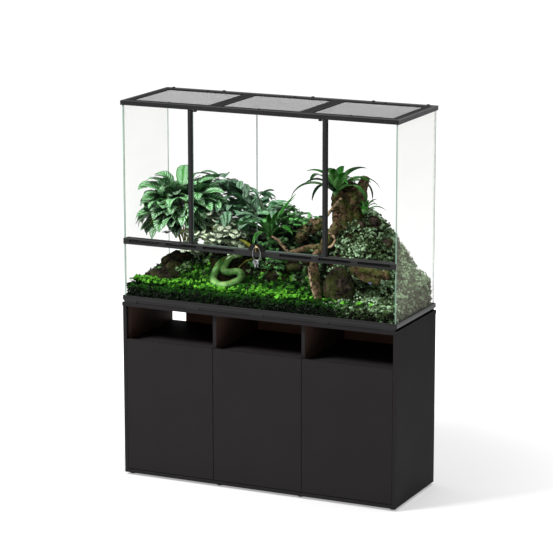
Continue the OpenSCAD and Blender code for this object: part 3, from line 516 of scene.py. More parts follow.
# %% From a skin to a piece
def make_piece(name, skin, finish, stands_for=(), body="root", smooth=True):
    """A mesh from a skin in millimetres. It rides on a body and takes a material slot's finish."""
    mesh = bpy.data.meshes.new(name)
    mesh.vertices.add(len(skin.points))
    mesh.vertices.foreach_set("co", (skin.points * MM).astype(np.float32).ravel())
    mesh.loops.add(skin.faces.size)
    mesh.loops.foreach_set("vertex_index", skin.faces.astype(np.int32).ravel())
    mesh.polygons.add(len(skin.faces))
    corners = skin.faces.shape[1]
    mesh.polygons.foreach_set("loop_start", np.arange(0, skin.faces.size, corners, dtype=np.int32))
    mesh.polygons.foreach_set("use_smooth", np.full(len(skin.faces), smooth))
    mesh.uv_layers.new(name="leaf").data.foreach_set("uv", loop_pattern(skin).ravel())
    tone = mesh.attributes.new("tone", "FLOAT", "POINT")
    tone.data.foreach_set("value", skin.tone.astype(np.float32))
    mesh.update(calc_edges=True)
    mesh.materials.append(finish)
    made = bpy.data.objects.new(name, mesh)
    bpy.context.scene.collection.objects.link(made)
    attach(made, body)
    if stands_for:
        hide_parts(*stands_for)
    print(name, len(skin.faces), "faces")
    return made


def loop_pattern(skin):
    """The pattern at each face corner. Where a face spans the seam of a ring, 0 becomes 1."""
    pattern = skin.pattern[skin.faces]
    spans = pattern[..., 1].max(axis=1) - pattern[..., 1].min(axis=1) > 0.6
    pattern[..., 1] += spans[:, None] * (pattern[..., 1] < 0.3)
    return pattern.astype(np.float32)


print("skins are ready")

# %% [markdown]
# ## Ground
# The bank is the same smooth landscape as the frame's: three rises along the back and a slope to
# the front. The visible ground adds small lumps, made from a sum of plane waves with random
# directions, which is a cheap noise that works on whole arrays.

# %% The landscape's formula
inner_x = -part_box("left_glass")[1].x / MM
inner_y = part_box("back_glass")[0].y / MM
soil_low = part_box("soil_bed")[0].z / MM
soil_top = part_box("soil_bed")[1].z / MM
# Each rise along X: its height, its centre and its spread
rises = [(175, -inner_x + 345, 115), (190, inner_x - 575, 90), (300, inner_x - 275, 128)]
low_ridge = 24
slope_run = 215
edge_gap = 9.0


def bell(value, centre, spread):
    """A bell curve of height 1."""
    return np.exp(-((value - centre) / spread) ** 2 / 2)


def ease(start, end, value):
    """A smooth step from 0 at start to 1 at end."""
    t = np.clip((value - start) / (end - start), 0, 1)
    return t * t * (3 - 2 * t)


def ground(x, y):
    """Height of the bank: a ridge along X times a smooth step up the slope along Y."""
    ridge = low_ridge + sum(height * bell(x, centre, spread) for height, centre, spread in rises)
    foot = -inner_y + 52 - 20 * bell(x, inner_x - 250, 140)
    return soil_top + 3.3 + ridge * ease(foot, foot + slope_run, y)


def lumps(points, size, seed, count=9):
    """Smooth random relief round 0: the mean of plane waves about size millimetres long."""
    pick = np.random.default_rng(seed)
    usual_length = 1.7    # of a vector of three normal numbers
    gain = 1.6            # brings the mean of the waves to about -1 to 1
    direction = pick.normal(size=(3, count)) * (2 * np.pi / size / usual_length)
    phase = pick.random(count) * 2 * np.pi
    return np.sin(points @ direction + phase).mean(axis=-1) * gain


def flat_lumps(x, y, size, seed):
    """The same relief over the plan alone."""
    return lumps(np.stack([x, y, 0 * x], -1), size, seed)


def ground_slope(x, y, step=4.0):
    """The upward normal of the ground, from height differences over a small step."""
    rise_x = (ground(x + step, y) - ground(x - step, y)) / (2 * step)
    rise_y = (ground(x, y + step) - ground(x, y - step)) / (2 * step)
    normal = np.stack([-rise_x, -rise_y, np.ones_like(rise_x)], -1)
    return normal / np.linalg.norm(normal, axis=-1, keepdims=True)


print("the bank rises from", round(float(ground(0, -inner_y))), "mm at the front to",
      round(float(ground(inner_x - 275, inner_y))), "mm on the right hill")

# %% The ground's surface
def ground_skin(nx=230, ny=86):
    """A lumpy sheet over the bank with walls down to the glass floor, closed underneath."""
    x = np.linspace(-inner_x + edge_gap, inner_x - edge_gap, nx)
    y = np.linspace(-inner_y + edge_gap, inner_y - edge_gap, ny)
    grid_x, grid_y = np.meshgrid(x, y, indexing="ij")
    rim = np.minimum(inner_y - np.abs(grid_y), inner_x - np.abs(grid_x)) - edge_gap
    relief = sum(height * flat_lumps(grid_x, grid_y, size, seed)
                 for height, size, seed in ((5, 60, 3), (2.6, 17, 4), (1.4, 7, 5)))
    up = ground(grid_x, grid_y) + relief * ease(-4, 20, rim) - 1.0
    top = np.stack([grid_x, grid_y, up], -1).reshape(-1, 3)
    number = np.arange(nx * ny).reshape(nx, ny)
    quads = np.stack([number[:-1, :-1], number[1:, :-1], number[1:, 1:], number[:-1, 1:]], -1)
    edge = np.concatenate([number[:, 0], number[-1, 1:], number[-2::-1, -1], number[0, -2:0:-1]])
    base = soil_low + 0.4    # a little above the bottom glass
    low = top[edge] * (1, 1, 0) + (0, 0, base)
    a = np.arange(len(edge))
    b = (a + 1) % len(edge)
    start = len(top)
    wall = np.stack([edge[a], start + a, start + b, edge[b]], -1)
    sides = np.concatenate([quads.reshape(-1, 4), wall])
    under = np.stack([start + a, np.full(len(edge), start + len(edge)), start + b], -1)
    points = np.concatenate([top, low, [[0, 0, base]]])
    triangles = np.concatenate([sides[:, :3], sides[:, [0, 2, 3]], under])
    return Skin(points, triangles, points[:, :2] / 100, np.zeros(len(points)))


def earth(name, dark, light, crumbs, grain):
    """Damp soil: clods from cells, grit from fine noise, paler crumbs here and there."""
    finish = Finish(name)
    clod = finish.cells(140)
    grit = finish.noise(grain, 4, 0.65)
    crumb = finish.noise(60, 2).rises(0.52, 0.68)
    tint = finish.mix(grit.rises(0.35, 0.75), dark, light)
    tint = finish.mix(crumb * grit.rises(0.4, 0.6) * 0.7, tint, crumbs)
    return finish.surface({
        "Base Color": tint,
        "Roughness": grit * 0.2 + 0.75,
        "Specular IOR Level": 0.04,
        "Normal": finish.bump(grit * 0.6 - clod * 0.4, 0.005),
    })


bank_finish = earth("bank_moss", colour(13, 11, 5), colour(60, 50, 30), colour(70, 72, 36), 320)
make_piece("bank_surface", ground_skin(), bank_finish, ["earth_bank", "soil_bed"])

# %% [markdown]
# ## Ground cover
# Thousands of tiny leaves cover the ground. Each is a flat closed lens of twelve triangles: six
# points round the rim, one above and one below. One copy is turned, scaled and moved for every
# leaf by a single array product. A sprig is three such leaves, as on clover.

# %% Small leaves, many at a time
rim_points = [(0, 0), (0.34, 0.4), (0.78, 0.33), (1, 0), (0.78, -0.33), (0.34, -0.4)]
lens = np.array([(x, y, 0) for x, y in rim_points] + [(0.5, 0, 0.09), (0.5, 0, -0.05)])
lens_faces = np.array([(6, (k + 1) % 6, k) for k in range(6)]
                      + [(7, k, (k + 1) % 6) for k in range(6)])


def small_leaves(place, normal, heading, size, slim, tone):
    """A lens for each place: x runs along the heading in the plane of the normal, z along it."""
    flat = np.stack([np.cos(heading), np.sin(heading), np.zeros_like(heading)], -1)
    along = flat - normal * (flat * normal).sum(-1, keepdims=True)
    along /= np.linalg.norm(along, axis=-1, keepdims=True) + 1e-6
    across = np.cross(normal, along)
    axes = np.stack([along, across * slim, normal], axis=1)
    points = place[:, None] + size[:, None, None] * (lens @ axes)
    faces = lens_faces[None] + (np.arange(len(place)) * len(lens))[:, None, None]
    pattern = np.tile(lens[:, :2] + (0, 0.5), (len(place), 1))
    return Skin(points.reshape(-1, 3), faces.reshape(-1, 3), pattern, np.repeat(tone, len(lens)))


def tilted(normal, amount):
    """Normals knocked off their direction by a random amount."""
    knocked = normal + amount * chance.normal(size=normal.shape)
    knocked[:, 2] = np.abs(knocked[:, 2])
    return knocked / np.linalg.norm(knocked, axis=-1, keepdims=True)


def many(count, low, high):
    """count random numbers between two."""
    return chance.uniform(low, high, count)


def spread(count, x_range, y_range, keep):
    """Random places on the ground, kept where the share keep(x, y) beats a random number."""
    x = many(count, *x_range)
    y = many(count, *y_range)
    kept = chance.random(count) < keep(x, y)
    return x[kept], y[kept]


def uneven(tone, amount):
    """Tones with a random part, kept from 0 to 1."""
    return np.clip(tone + amount * chance.normal(size=len(tone)), 0, 1)


print("a small leaf has", len(lens_faces), "faces")

# %% Clover carpet
reach_x = inner_x - 7
reach_y = inner_y - 7
snake_middle = np.array([-inner_x + 403, -inner_y + 123])


def off_snake(x, y):
    """Nothing grows where the snake lies."""
    away = np.hypot((x - snake_middle[0]) / 76, (y - snake_middle[1] - 4) / 62)
    return ease(0.85, 1.15, away)


def carpet_share(x, y):
    """Dense along the front glass, thinner up the slope, deep on the left and not on the right."""
    depth = 78 + 76 * ease(-150, -420, x) + 26 * bell(x, 40, 100) - 96 * ease(190, 340, x)
    patches = 0.5 + 0.5 * flat_lumps(x, y, 60, 21)
    return ease(depth + 60, depth - 20, y + inner_y) * (0.4 + 0.6 * patches) * off_snake(x, y)


def sprigs(x, y, canopy, size, darkest, lightest):
    """Three leaves at each place, at random heights under the canopy, lower ones in painted shade.
    """
    lift = chance.random(len(x)) ** 0.7
    place = np.stack([x, y, ground(x, y) + 2 + canopy * lift], -1)
    normal = tilted(ground_slope(x, y) + np.array([0, -0.25, 0]), 0.42)
    heading = many(len(x), 0, 2 * np.pi)
    length = many(len(x), *size)
    # Painted shade: the tone rises with height in the canopy, with random patches
    light = lift ** 1.5 * (0.75 + 0.6 * flat_lumps(x, y, 38, 23))
    tone = uneven(darkest + (lightest - darkest) * light, 0.19)
    return join([small_leaves(place, normal, heading + turn * 2.1, length, 1.15, tone)
                 for turn in range(3)])


def carpet_skin():
    """The bright carpet: its canopy is highest at the left end."""
    x, y = spread(11500, (-reach_x, reach_x), (-reach_y, 70), carpet_share)
    canopy = 20 + 8 * flat_lumps(x, y, 55, 22) + 8 * ease(-380, -560, x)
    return sprigs(x, y, canopy * ease(170, 40, y + inner_y) + 6, (6, 11), 0.0, 1.0)


def edge_skin(walls, size, tone_low, tone_high, x_range, patchy=0.16):
    """Leaves in the gap between the soil and the panes, in painted shade: tone_low at the floor,
    lighter upwards.

    walls lists (axis, sign, number of leaves), and patchy is how uneven their tone is."""
    sets = []
    for axis, sign, count in walls:
        place = np.stack([many(count, *x_range), many(count, -reach_y, reach_y),
                          many(count, 0, 1)], -1)
        place[:, axis] = sign * ((inner_x, inner_y)[axis] - many(count, 3.2, 8))
        share = place[:, 2].copy()
        top = ground(place[:, 0], place[:, 1]) + 11
        place[:, 2] = soil_low + 4 + (top - soil_low - 4) * share
        out = np.tile([0, 0, 0.4], (count, 1))
        out[:, axis] = sign
        # Painted shade: darker towards the floor of the tank
        rising = tone_low + (tone_high - tone_low) * share ** 2
        tone = uneven(rising + patchy * lumps(place, 30, 24), 0.4 * patchy)
        sets.append(small_leaves(place, tilted(out, 0.4), many(count, 0, 2 * np.pi),
                                 many(count, *size), 1.15, tone))
    return join(sets)


def small_leaf_finish(name, deep, middle, bright, sheen):
    """A small leaf: a tone from deep to bright, partly painted shade, a paler midrib and a waxy
    sheen.
    """
    finish = Finish(name)
    _, across = finish.along_leaf()
    tone = finish.attribute("tone")
    cloud = finish.noise(45, 2)
    rib = abs(across - 0.5).rises(0.06, 0.0)
    stops = [(0.0, deep), (0.5, middle), (1.0, bright)]
    shade = finish.ramp(tone * 0.9 + cloud * 0.3 - 0.15, stops)
    return finish.surface({
        "Base Color": finish.mix(rib * tone * 0.5, shade, bright),
        "Roughness": cloud * 0.2 + sheen,
        "Specular IOR Level": 0.05,
        "Normal": finish.bump(rib + finish.noise(900, 1) * 0.5, 0.0003),
    })


carpet_finish = small_leaf_finish("green_carpet", colour(4, 11, 2), colour(26, 80, 12),
                                  colour(112, 196, 56), 0.3)
make_piece("clover_carpet", carpet_skin(), carpet_finish, ["ground_cover"],
           smooth=False)
edge_walls = edge_skin([(1, -1, 5200), (1, 1, 1600), (0, -1, 1300)], (7, 12), -0.2, 0.24,
                       (-reach_x, 370))
make_piece("carpet_edge", edge_walls, carpet_finish, smooth=False)

# %% [markdown]
# ## Creepers on the slope
# Between the carpet and the plants at the back the soil shows through looser, greyer sprigs. They
# use the carpet's functions with another share of places and other colours.

# %% Creepers on the slope
slope_finish = small_leaf_finish("slope_creeper", colour(5, 12, 4), colour(34, 62, 26),
                                 colour(150, 190, 128), 0.35)


def slope_share(x, y):
    """In the middle of the tank, between the carpet and the plants at the back."""
    behind = ease(60, 130, y + inner_y)
    patches = 0.5 + 0.5 * flat_lumps(x, y, 60, 41)
    return behind * ease(270, 200, x) * (0.1 + 0.8 * ease(0.3, 0.6, patches)) * off_snake(x, y)


slope_x, slope_y = spread(5600, (-reach_x, 270), (-reach_y, reach_y), slope_share)
make_piece("slope_creepers", sprigs(slope_x, slope_y, 12 + 0 * slope_x, (6.5, 11), 0.0, 0.9),
           slope_finish, smooth=False)

# %% [markdown]
# ## Leaves on stems
# A leaf starts at a place, leaves in a heading, climbs at an angle and droops along its way. All
# leaves of a plant are computed at once: the angles are (leaf, row) arrays, their cosines and
# sines give the direction of each row, and a running sum of the directions gives the path.

# %% Courses and leaf outlines
def course(start, heading, climb, length, droop, rows, curl=0.0, power=1.4):
    """Paths that leave at a heading and a climb angle; the climb falls by droop along the way."""
    u = np.linspace(0, 1, rows)
    angle = climb[:, None] - np.broadcast_to(droop, climb.shape)[:, None] * u ** power
    turn = heading[:, None] + np.broadcast_to(curl, climb.shape)[:, None] * u
    way = np.stack([np.cos(turn) * np.cos(angle), np.sin(turn) * np.cos(angle), np.sin(angle)], -1)
    steps = way * (np.broadcast_to(length, climb.shape) / (rows - 1))[:, None, None]
    path = start[:, None] + np.cumsum(steps, axis=1) - steps
    side = np.stack([-np.sin(turn), np.cos(turn), np.zeros_like(turn)], -1)
    return path, side, np.cross(way, side), way


def ovate(u):
    """A pointed oval on a short stalk."""
    return np.sin(np.pi * u ** 0.8) ** 0.8 * (u > 0.07) + 0.05


def strap(u):
    """A long even band that tapers over its last third."""
    return (0.62 + 0.38 * np.minimum(u * 3, 1)) * np.minimum(1, (1 - u) * 2.2) ** 0.75 + 0.02


def rounded(u):
    """A round leaf with a small stalk."""
    return np.sqrt(np.clip(1 - (2 * u - 1) ** 2, 0, 1)) + 0.04


def blades(start, heading, climb, length, width, droop, outline, rows=11, columns=8, roll=0.0,
           curl=0.0, fold=0.25, ripple=0.0, thick=0.45, tone=None, power=1.4):
    """Leaves as flat swept rings: half the width times the outline, folded up along the midrib."""
    path, side, up, _ = course(start, heading, climb, length, droop, rows, curl, power)
    lean = np.broadcast_to(roll, climb.shape)[:, None, None]
    side, up = side * np.cos(lean) + up * np.sin(lean), up * np.cos(lean) - side * np.sin(lean)
    u = np.linspace(0, 1, rows)
    half = np.broadcast_to(width, climb.shape)[:, None] / 2 * outline(u)
    ripples = 17       # radians of ripple along a leaf, under three waves
    any_phase = 6.28
    wavy = ripple * np.sin(u * ripples + chance.random(len(climb))[:, None] * any_phase)
    keel = (fold + wavy)[:, :, None, None] if ripple else fold
    return sweep(path, side, up, half, np.full_like(half, thick) * outline(u).clip(0.2, 1), columns,
                 tone, keel)


def tubes(path, radius, columns=7, tone=0.5):
    """Round stems along paths (count, rows, 3); the side is level and the up follows from it."""
    way = np.gradient(path, axis=1)
    way /= np.linalg.norm(way, axis=-1, keepdims=True) + 1e-9
    side = np.cross(way, (0.0, 0.02, 1.0))
    side /= np.linalg.norm(side, axis=-1, keepdims=True) + 1e-9
    up = np.cross(side, way)
    half = np.broadcast_to(radius, path.shape[:2])
    return sweep(path, -side, up, half, half, columns, tone, around=True)


def inside(skin, margin=26.0):
    """Presses what comes near the glass gently along it, as leaves do that touch a pane."""
    points = skin.points
    for axis, reach in ((0, inner_x - 3.5), (1, inner_y - 3.5)):
        for sign in (-1, 1):
            gap = reach - sign * points[:, axis]
            gap = np.where(gap < margin, margin * np.exp(np.minimum(gap / margin - 1, 0)), gap)
            points[:, axis] = sign * (reach - gap)
    return skin


golden = math.radians(137.5)    # the angle from one leaf to the next on many stems


def leaves_along(path, way, first, last, each, length, width, droop, outline, **more):
    """Leaves in two ranks along stems, from the share first to the share last of each stem."""
    count, rows, _ = path.shape
    at = np.linspace(first, last, each) * (rows - 1)
    low = np.floor(at).astype(int).clip(0, rows - 2)
    share = (at - low)[None, :, None]
    start = (path[:, low] * (1 - share) + path[:, low + 1] * share).reshape(-1, 3)
    ahead = way[:, low].reshape(-1, 3)
    number = count * each
    rank = np.tile(np.where(np.arange(each) % 2, 1.0, -1.0), count)
    heading = np.arctan2(ahead[:, 1], ahead[:, 0]) + rank * many(number, 0.7, 1.3)
    climb = np.arcsin(ahead[:, 2].clip(-1, 1)) * 0.4 + many(number, -0.2, 0.5)
    return blades(start, heading, climb, many(number, *length), many(number, *width), droop,
                  outline, **more)


print("three leaf outlines: ovate, strap and rounded")

# %% [markdown]
# ## The large leafy plant on the left
# The photograph shows a dense dome of broad leaves, 100 to 130 mm long, that hang outwards over
# each other. They start on a few stems inside the dome, spread evenly by the golden angle. Their
# pattern is dark green with silvery bands between the side veins, and follows each leaf's own u, v.

# %% Leafy plant
def leaf_finish(name, deep, middle, pale, margin, veins=9.0, band=0.5, sheen=0.3, old=None):
    """A leaf with bands that run forward from its midrib, a margin colour and a waxy sheen.

    old, if given, is the colour of the few leaves whose tone is almost exactly a half."""
    finish = Finish(name)
    along, across = finish.along_leaf()
    tone = finish.attribute("tone")
    off = abs(across - 0.5) * 2
    cloud = finish.noise(70, 3)
    bands = ((along - off * 0.22 + cloud * 0.1) * veins).wave()
    patch = bands.rises(0.42, 0.75) * off.rises(0.06, 0.24) * off.rises(1.0, 0.84)
    shade = finish.mix(tone, deep, middle)
    shade = finish.mix(patch * band * (cloud * 0.9 + 0.55), shade, pale)
    shade = finish.mix(off.rises(0.88, 1.0) * 0.8, shade, margin)
    shade = finish.mix(off.rises(0.07, 0.0) * 0.7, shade, margin)
    if old:
        shade = finish.mix(abs(tone - 0.5).rises(0.006, 0.003), shade, old)
    # Low tones go to the deep colour: painted shade on the leafy plant, random on the others
    shade = finish.mix(tone.rises(-0.05, 0.4), deep, shade)
    relief = off.rises(0.1, 0.0) * 0.8 + bands * 0.5 + finish.noise(600, 1) * 0.2
    return finish.surface({
        "Base Color": shade,
        "Roughness": cloud * 0.25 + sheen,
        "Specular IOR Level": 0.2,
        "Normal": finish.bump(relief, 0.0009),
    })


bush_finish = leaf_finish("broad_leaf", colour(3, 20, 3), colour(20, 116, 22),
                          colour(208, 242, 212), colour(112, 178, 62), 9.0, 0.66, 0.16,
                          colour(160, 164, 66))
bush_middle = np.array([-436.0, -10.0, 1104.0])
bush_reach = np.array([124.0, 116.0, 106.0])


def bush_skin(count=235, stalks=16):
    """Leaves that start on an inner dome and hang outwards, steeper the lower they start."""
    share = (np.arange(count) + 0.5) / count
    height = 0.98 - 1.6 * share
    turn = np.arange(count) * golden
    flat = np.sqrt(1 - height ** 2)
    way = np.stack([flat * np.cos(turn), flat * np.sin(turn), height], -1)
    depth = many(count, 0, 1)
    start = bush_middle + way * bush_reach * (0.3 + 0.6 * depth)[:, None]
    heading = turn + chance.normal(0, 0.3, count)
    climb = np.arcsin(height) * 0.66 + many(count, 0.05, 0.42)
    # Painted shade: leaves that start deep in the dome or low on it are darker
    tone = uneven(depth ** 0.7 * ease(-0.9, 0.1, height), 0.12)
    leaves = blades(start, heading, climb, many(count, 92, 134), many(count, 46, 60),
                    many(count, 0.9, 1.7), ovate, rows=12, roll=chance.normal(0, 0.35, count),
                    curl=chance.normal(0, 0.25, count), fold=0.2, ripple=0.07, tone=tone)
    stalk_foot = np.array([-433.0, 74.0, 0.0])
    stalk_start = stalk_foot + np.array([18, 16, 0]) * chance.normal(size=(stalks, 3))
    stalk_start[:, 2] = ground(stalk_start[:, 0], stalk_start[:, 1]) - 5
    aim = bush_middle + bush_reach * 0.5 * chance.normal(size=(stalks, 3)).clip(-1, 1)
    bend = np.linspace(0, 1, 9)[None, :, None]
    path = stalk_start[:, None] * (1 - bend) + aim[:, None] * bend
    path += np.array([0, 14, 26]) * np.sin(bend * np.pi)
    return join([leaves, tubes(path, 3.4)])


make_piece("leafy_plant_leaves", inside(bush_skin()), bush_finish, ["leafy_plant"])

# %% [markdown]
# ## Arching plant and round leaves
# Behind the middle a second plant sends out arching stems with striped, silvery leaves that hang
# in two ranks. In front of it small round leaves with cream edges trail down the slope.

# %% Arching plant
arch_finish = leaf_finish("arching_leaf", colour(3, 22, 6), colour(28, 108, 40),
                          colour(186, 228, 196), colour(90, 160, 100), 11.0, 0.8, 0.2)
arch_root = np.array([-168.0, 118.0, 0.0])
arch_root[2] = ground(arch_root[0], arch_root[1]) + 4


def arch_skin():
    """Stems that climb from one root and arch over, with hanging leaves in two ranks."""
    toward = np.radians([176, 190, 205, 158, 222, 246, 140, 95, 268, 20, 340, 300])
    length = np.array([365, 345, 318, 292, 270, 232, 216, 250, 190, 190, 210, 198.0])
    climb = np.radians([84, 80, 82, 86, 74, 70, 84, 88, 66, 84, 78, 72])
    start = arch_root + np.stack([8 * np.cos(toward), 8 * np.sin(toward), 0 * toward], -1)
    path, _, _, way = course(start, toward, climb, length, np.radians(112), 14, power=1.7)
    each = 13
    leaves = leaves_along(path, way, 0.3, 1.0, each, (76, 112), (28, 38), 0.9, ovate, rows=9,
                          fold=0.3, ripple=0.05,
                          roll=chance.normal(0, 0.2, each * len(toward)))
    return join([leaves, tubes(path, np.linspace(3.2, 1.2, 14)[None])])


make_piece("arching_plant_leaves", inside(arch_skin()), arch_finish,
           ["arching_plant"])

# %% Round trailing leaves
round_finish = leaf_finish("round_leaf", colour(34, 62, 24), colour(192, 222, 168),
                           colour(248, 250, 238), colour(250, 252, 242), 3.0, 0.75, 0.3)


to_front = -1.57    # the heading along -Y, in radians


def trailing(x_range, y_range, top, fall, stems, each, length, width, outline, **more):
    """Stems that stand on the slope, lean over to the front and carry small leaves."""
    start = np.stack([many(stems, *x_range), many(stems, *y_range), np.zeros(stems)], -1)
    start[:, 2] = ground(start[:, 0], start[:, 1]) - 2
    path, _, _, way = course(start, to_front + chance.normal(0, 0.7, stems),
                             many(stems, 1.1, 1.5), many(stems, *top), many(stems, *fall), 10,
                             power=1.3)
    leaves = leaves_along(path, way, 0.15, 1.0, each, length, width, 0.7, outline,
                          roll=chance.normal(0, 0.35, stems * each), **more)
    return join([leaves, tubes(path, np.linspace(1.8, 0.9, 10)[None], 5)])


round_skin = trailing((-350, -120), (-20, 120), (110, 215), (1.6, 2.6), 58, 11, (26, 37), (24, 33),
                      rounded, rows=6, columns=6, fold=0.12)
make_piece("round_leaves", inside(round_skin), round_finish)

# %% [markdown]
# ## Rosettes and ivy
# Two large rosettes of long glossy straps, one on the slope in the middle and one on the tree
# stump, and a small one on the hill beside it. A strap leaves steeply, arches over and ends in a
# thin tip. Ivy fills the gap behind.

# %% Rosettes
# The pale bands on the straps are painted highlights, one long glint along each leaf
strap_finish = leaf_finish("rosette_leaf", colour(3, 24, 4), colour(32, 108, 18),
                           colour(160, 216, 140), colour(76, 150, 54), 1.0, 0.24, 0.1)


def rosette(middle, count, reach, width, first_turn=0.0, arch=1.75):
    """Straps round a cup: the outer ones are long and droop, the inner ones short and upright."""
    share = (np.arange(count) + 0.5) / count
    heading = np.arange(count) * golden + first_turn
    start = middle + np.stack([7 * np.cos(heading), 7 * np.sin(heading), 10 * share], -1)
    climb = 0.55 + 0.8 * share + chance.normal(0, 0.1, count)
    length = reach * (1.08 - 0.45 * share) * many(count, 0.85, 1.1)
    droop = arch - 0.9 * share + chance.normal(0, 0.15, count)
    leaves = blades(start, heading, climb, length, width * many(count, 0.85, 1.1), droop, strap,
                    rows=16, fold=0.34, roll=chance.normal(0, 0.15, count),
                    curl=chance.normal(0, 0.2, count), thick=0.7, power=1.3)
    up = np.linspace(0, 1, 5)[None, :, None]
    cup = middle[None, None] + np.array([0, 0, -16.0]) + up * np.array([0, 0, 44.0])
    return join([leaves, tubes(cup, np.array([[9, 13, 15, 13, 6.0]]), 10)])


middle_rosette = np.array([-36.0, 0.0, 1012.0])
stump_rosette = np.array([251.0, 8.0, 1216.0])
long_straps = blades(np.array([middle_rosette] * 5), np.array([-0.35, 2.75, 2.5, 0.95, 0.5]),
                     np.array([0.5, 0.95, 1.15, 1.15, 1.3]), np.array([300, 240, 215, 215, 200.0]),
                     np.array([17, 20, 22, 24, 22.0]), np.array([1.0, 0.75, 0.6, 0.5, 0.7]), strap,
                     rows=16, fold=0.34, thick=0.7, power=1.2)
rosettes = join([rosette(middle_rosette, 24, 222, 22), long_straps,
                 rosette(stump_rosette, 17, 214, 34, 1.1, 2.4),
                 rosette(np.array([362.0, 40.0, 1150.0]), 11, 82, 13, 0.4)])
make_piece("rosette_leaves", inside(rosettes), strap_finish, ["rosette_plants"])

# %% Ivy behind the rosette
ivy_finish = leaf_finish("ivy_leaf", colour(5, 24, 5), colour(60, 154, 56),
                         colour(186, 232, 172), colour(120, 184, 100), 5.0, 0.45, 0.2)
ivy = join([trailing((-75, 105), (70, 150), (75, 165), (1.4, 2.4), 34, 12, (17, 27), (17, 25),
                     rounded, rows=6, columns=6, fold=0.2),
            trailing((-150, 60), (-60, 40), (30, 80), (1.4, 2.4), 16, 9, (14, 24), (14, 22),
                     rounded, rows=6, columns=6, fold=0.2)])
make_piece("ivy", inside(ivy), ivy_finish)

# %% [markdown]
# ## Single leaves and flowers
# Four reddish leaves and two blue flowers are too few for a formula that spreads them, so their
# places are written down. They reuse the blades of the large plants and the small leaves.

# %% Single coloured leaves and two small flowers
edged_finish = leaf_finish("edged_leaf", colour(40, 84, 20), colour(136, 150, 48),
                           colour(186, 150, 62), colour(196, 72, 40), 4.0, 0.35, 0.2)
edged_start = np.array([(-56, -112, 978), (-52, -112, 984), (-139, -92, 886),
                        (-250, -60, 1010)], float)
edged = blades(edged_start, np.array([3.0, 2.5, 0.2, 4.2]), np.array([0.7, 0.2, 0.95, 1.2]),
               np.array([84, 62, 88, 60.0]), np.array([26, 20, 24, 16.0]),
               np.array([0.6, 0.9, 0.9, 0.6]), ovate, rows=12, fold=0.25)
make_piece("edged_leaves", edged, edged_finish)

petal_finish = small_leaf_finish("petal", colour(44, 42, 150), colour(84, 84, 206),
                                 colour(170, 168, 240), 0.4)
petal_turn = np.tile(np.arange(5) * 2 * np.pi / 5, 2)
petal_place = np.repeat([(-88, -152, 806), (467, -150, 906)], 5, axis=0).astype(float)
petals = small_leaves(petal_place, tilted(np.tile([0, -0.8, 0.5], (10, 1)), 0.1), petal_turn,
                      np.full(10, 9.0), 1.2, np.full(10, 0.7))
make_piece("blue_flowers", petals, petal_finish, smooth=False)

# %% [markdown]
# ## Driftwood
# A forked stump stands on the hill, roots run down from it, and logs and branches lie beside them.
# Each limb is a ring carried along a smooth curve through a few points, with ridges of bark added
# as waves round the ring.

# %% Smooth curves through points
def curve(points, rows):
    """A Catmull-Rom curve: cubic pieces through the points, each from its four nearest ones."""
    points = np.asarray(points, float)
    padded = np.concatenate([[2 * points[0] - points[1]], points, [2 * points[-1] - points[-2]]])
    at = np.linspace(0, len(points) - 1, rows)
    k = np.floor(at).astype(int).clip(0, len(points) - 2)
    t = (at - k)[:, None]
    p0, p1, p2, p3 = (padded[k + i] for i in range(4))
    return 0.5 * (2 * p1 + (p2 - p0) * t + (2 * p0 - 5 * p1 + 4 * p2 - p3) * t ** 2
                  + (3 * p1 - p0 - 3 * p2 + p3) * t ** 3)


def limb(points, rows, columns, ridges=5.0, rough=0.12, seed=1, tone=0.0):
    """A branch through (x, y, z, radius) points, with bark: its radius varies along and round.

    A tone of 1 is peeled pale wood, 0 is bark and less than 0 is darker bark."""
    line = curve(points, rows)
    path = line[None, :, :3]
    skin = tubes(path, line[None, :, 3], columns, tone)
    rings = skin.points[:-2].reshape(rows, columns, 3)
    angle = np.arange(columns) * 2 * np.pi / columns
    run = np.linspace(0, 1, rows)[:, None]
    relief = 0.5 * np.sin(ridges * angle + 9 * run + seed) + 0.3 * np.sin(
        2.3 * ridges * angle - 13 * run + 2 * seed) + 1.2 * lumps(rings, 34, seed)
    relief = relief + 0.5 * lumps(rings, 12, seed + 1)
    fade = np.minimum(1, 0.3 + 6 * run)
    rings = path[0][:, None] + (rings - path[0][:, None]) * (1 + rough * relief * fade)[..., None]
    points = np.concatenate([rings.reshape(-1, 3), skin.points[-2:]])
    return skin._replace(points=points)


print("curves and limbs are ready")

# %% Stump and roots
stump_x, stump_y = 300.8, 60.2
stump_z = ground(stump_x, stump_y) - 26


def from_stump(*places):
    """Points given from the stump's foot, with their radius, as places in the tank."""
    return [(stump_x + x, stump_y + y, stump_z + z, radius) for x, y, z, radius in places]


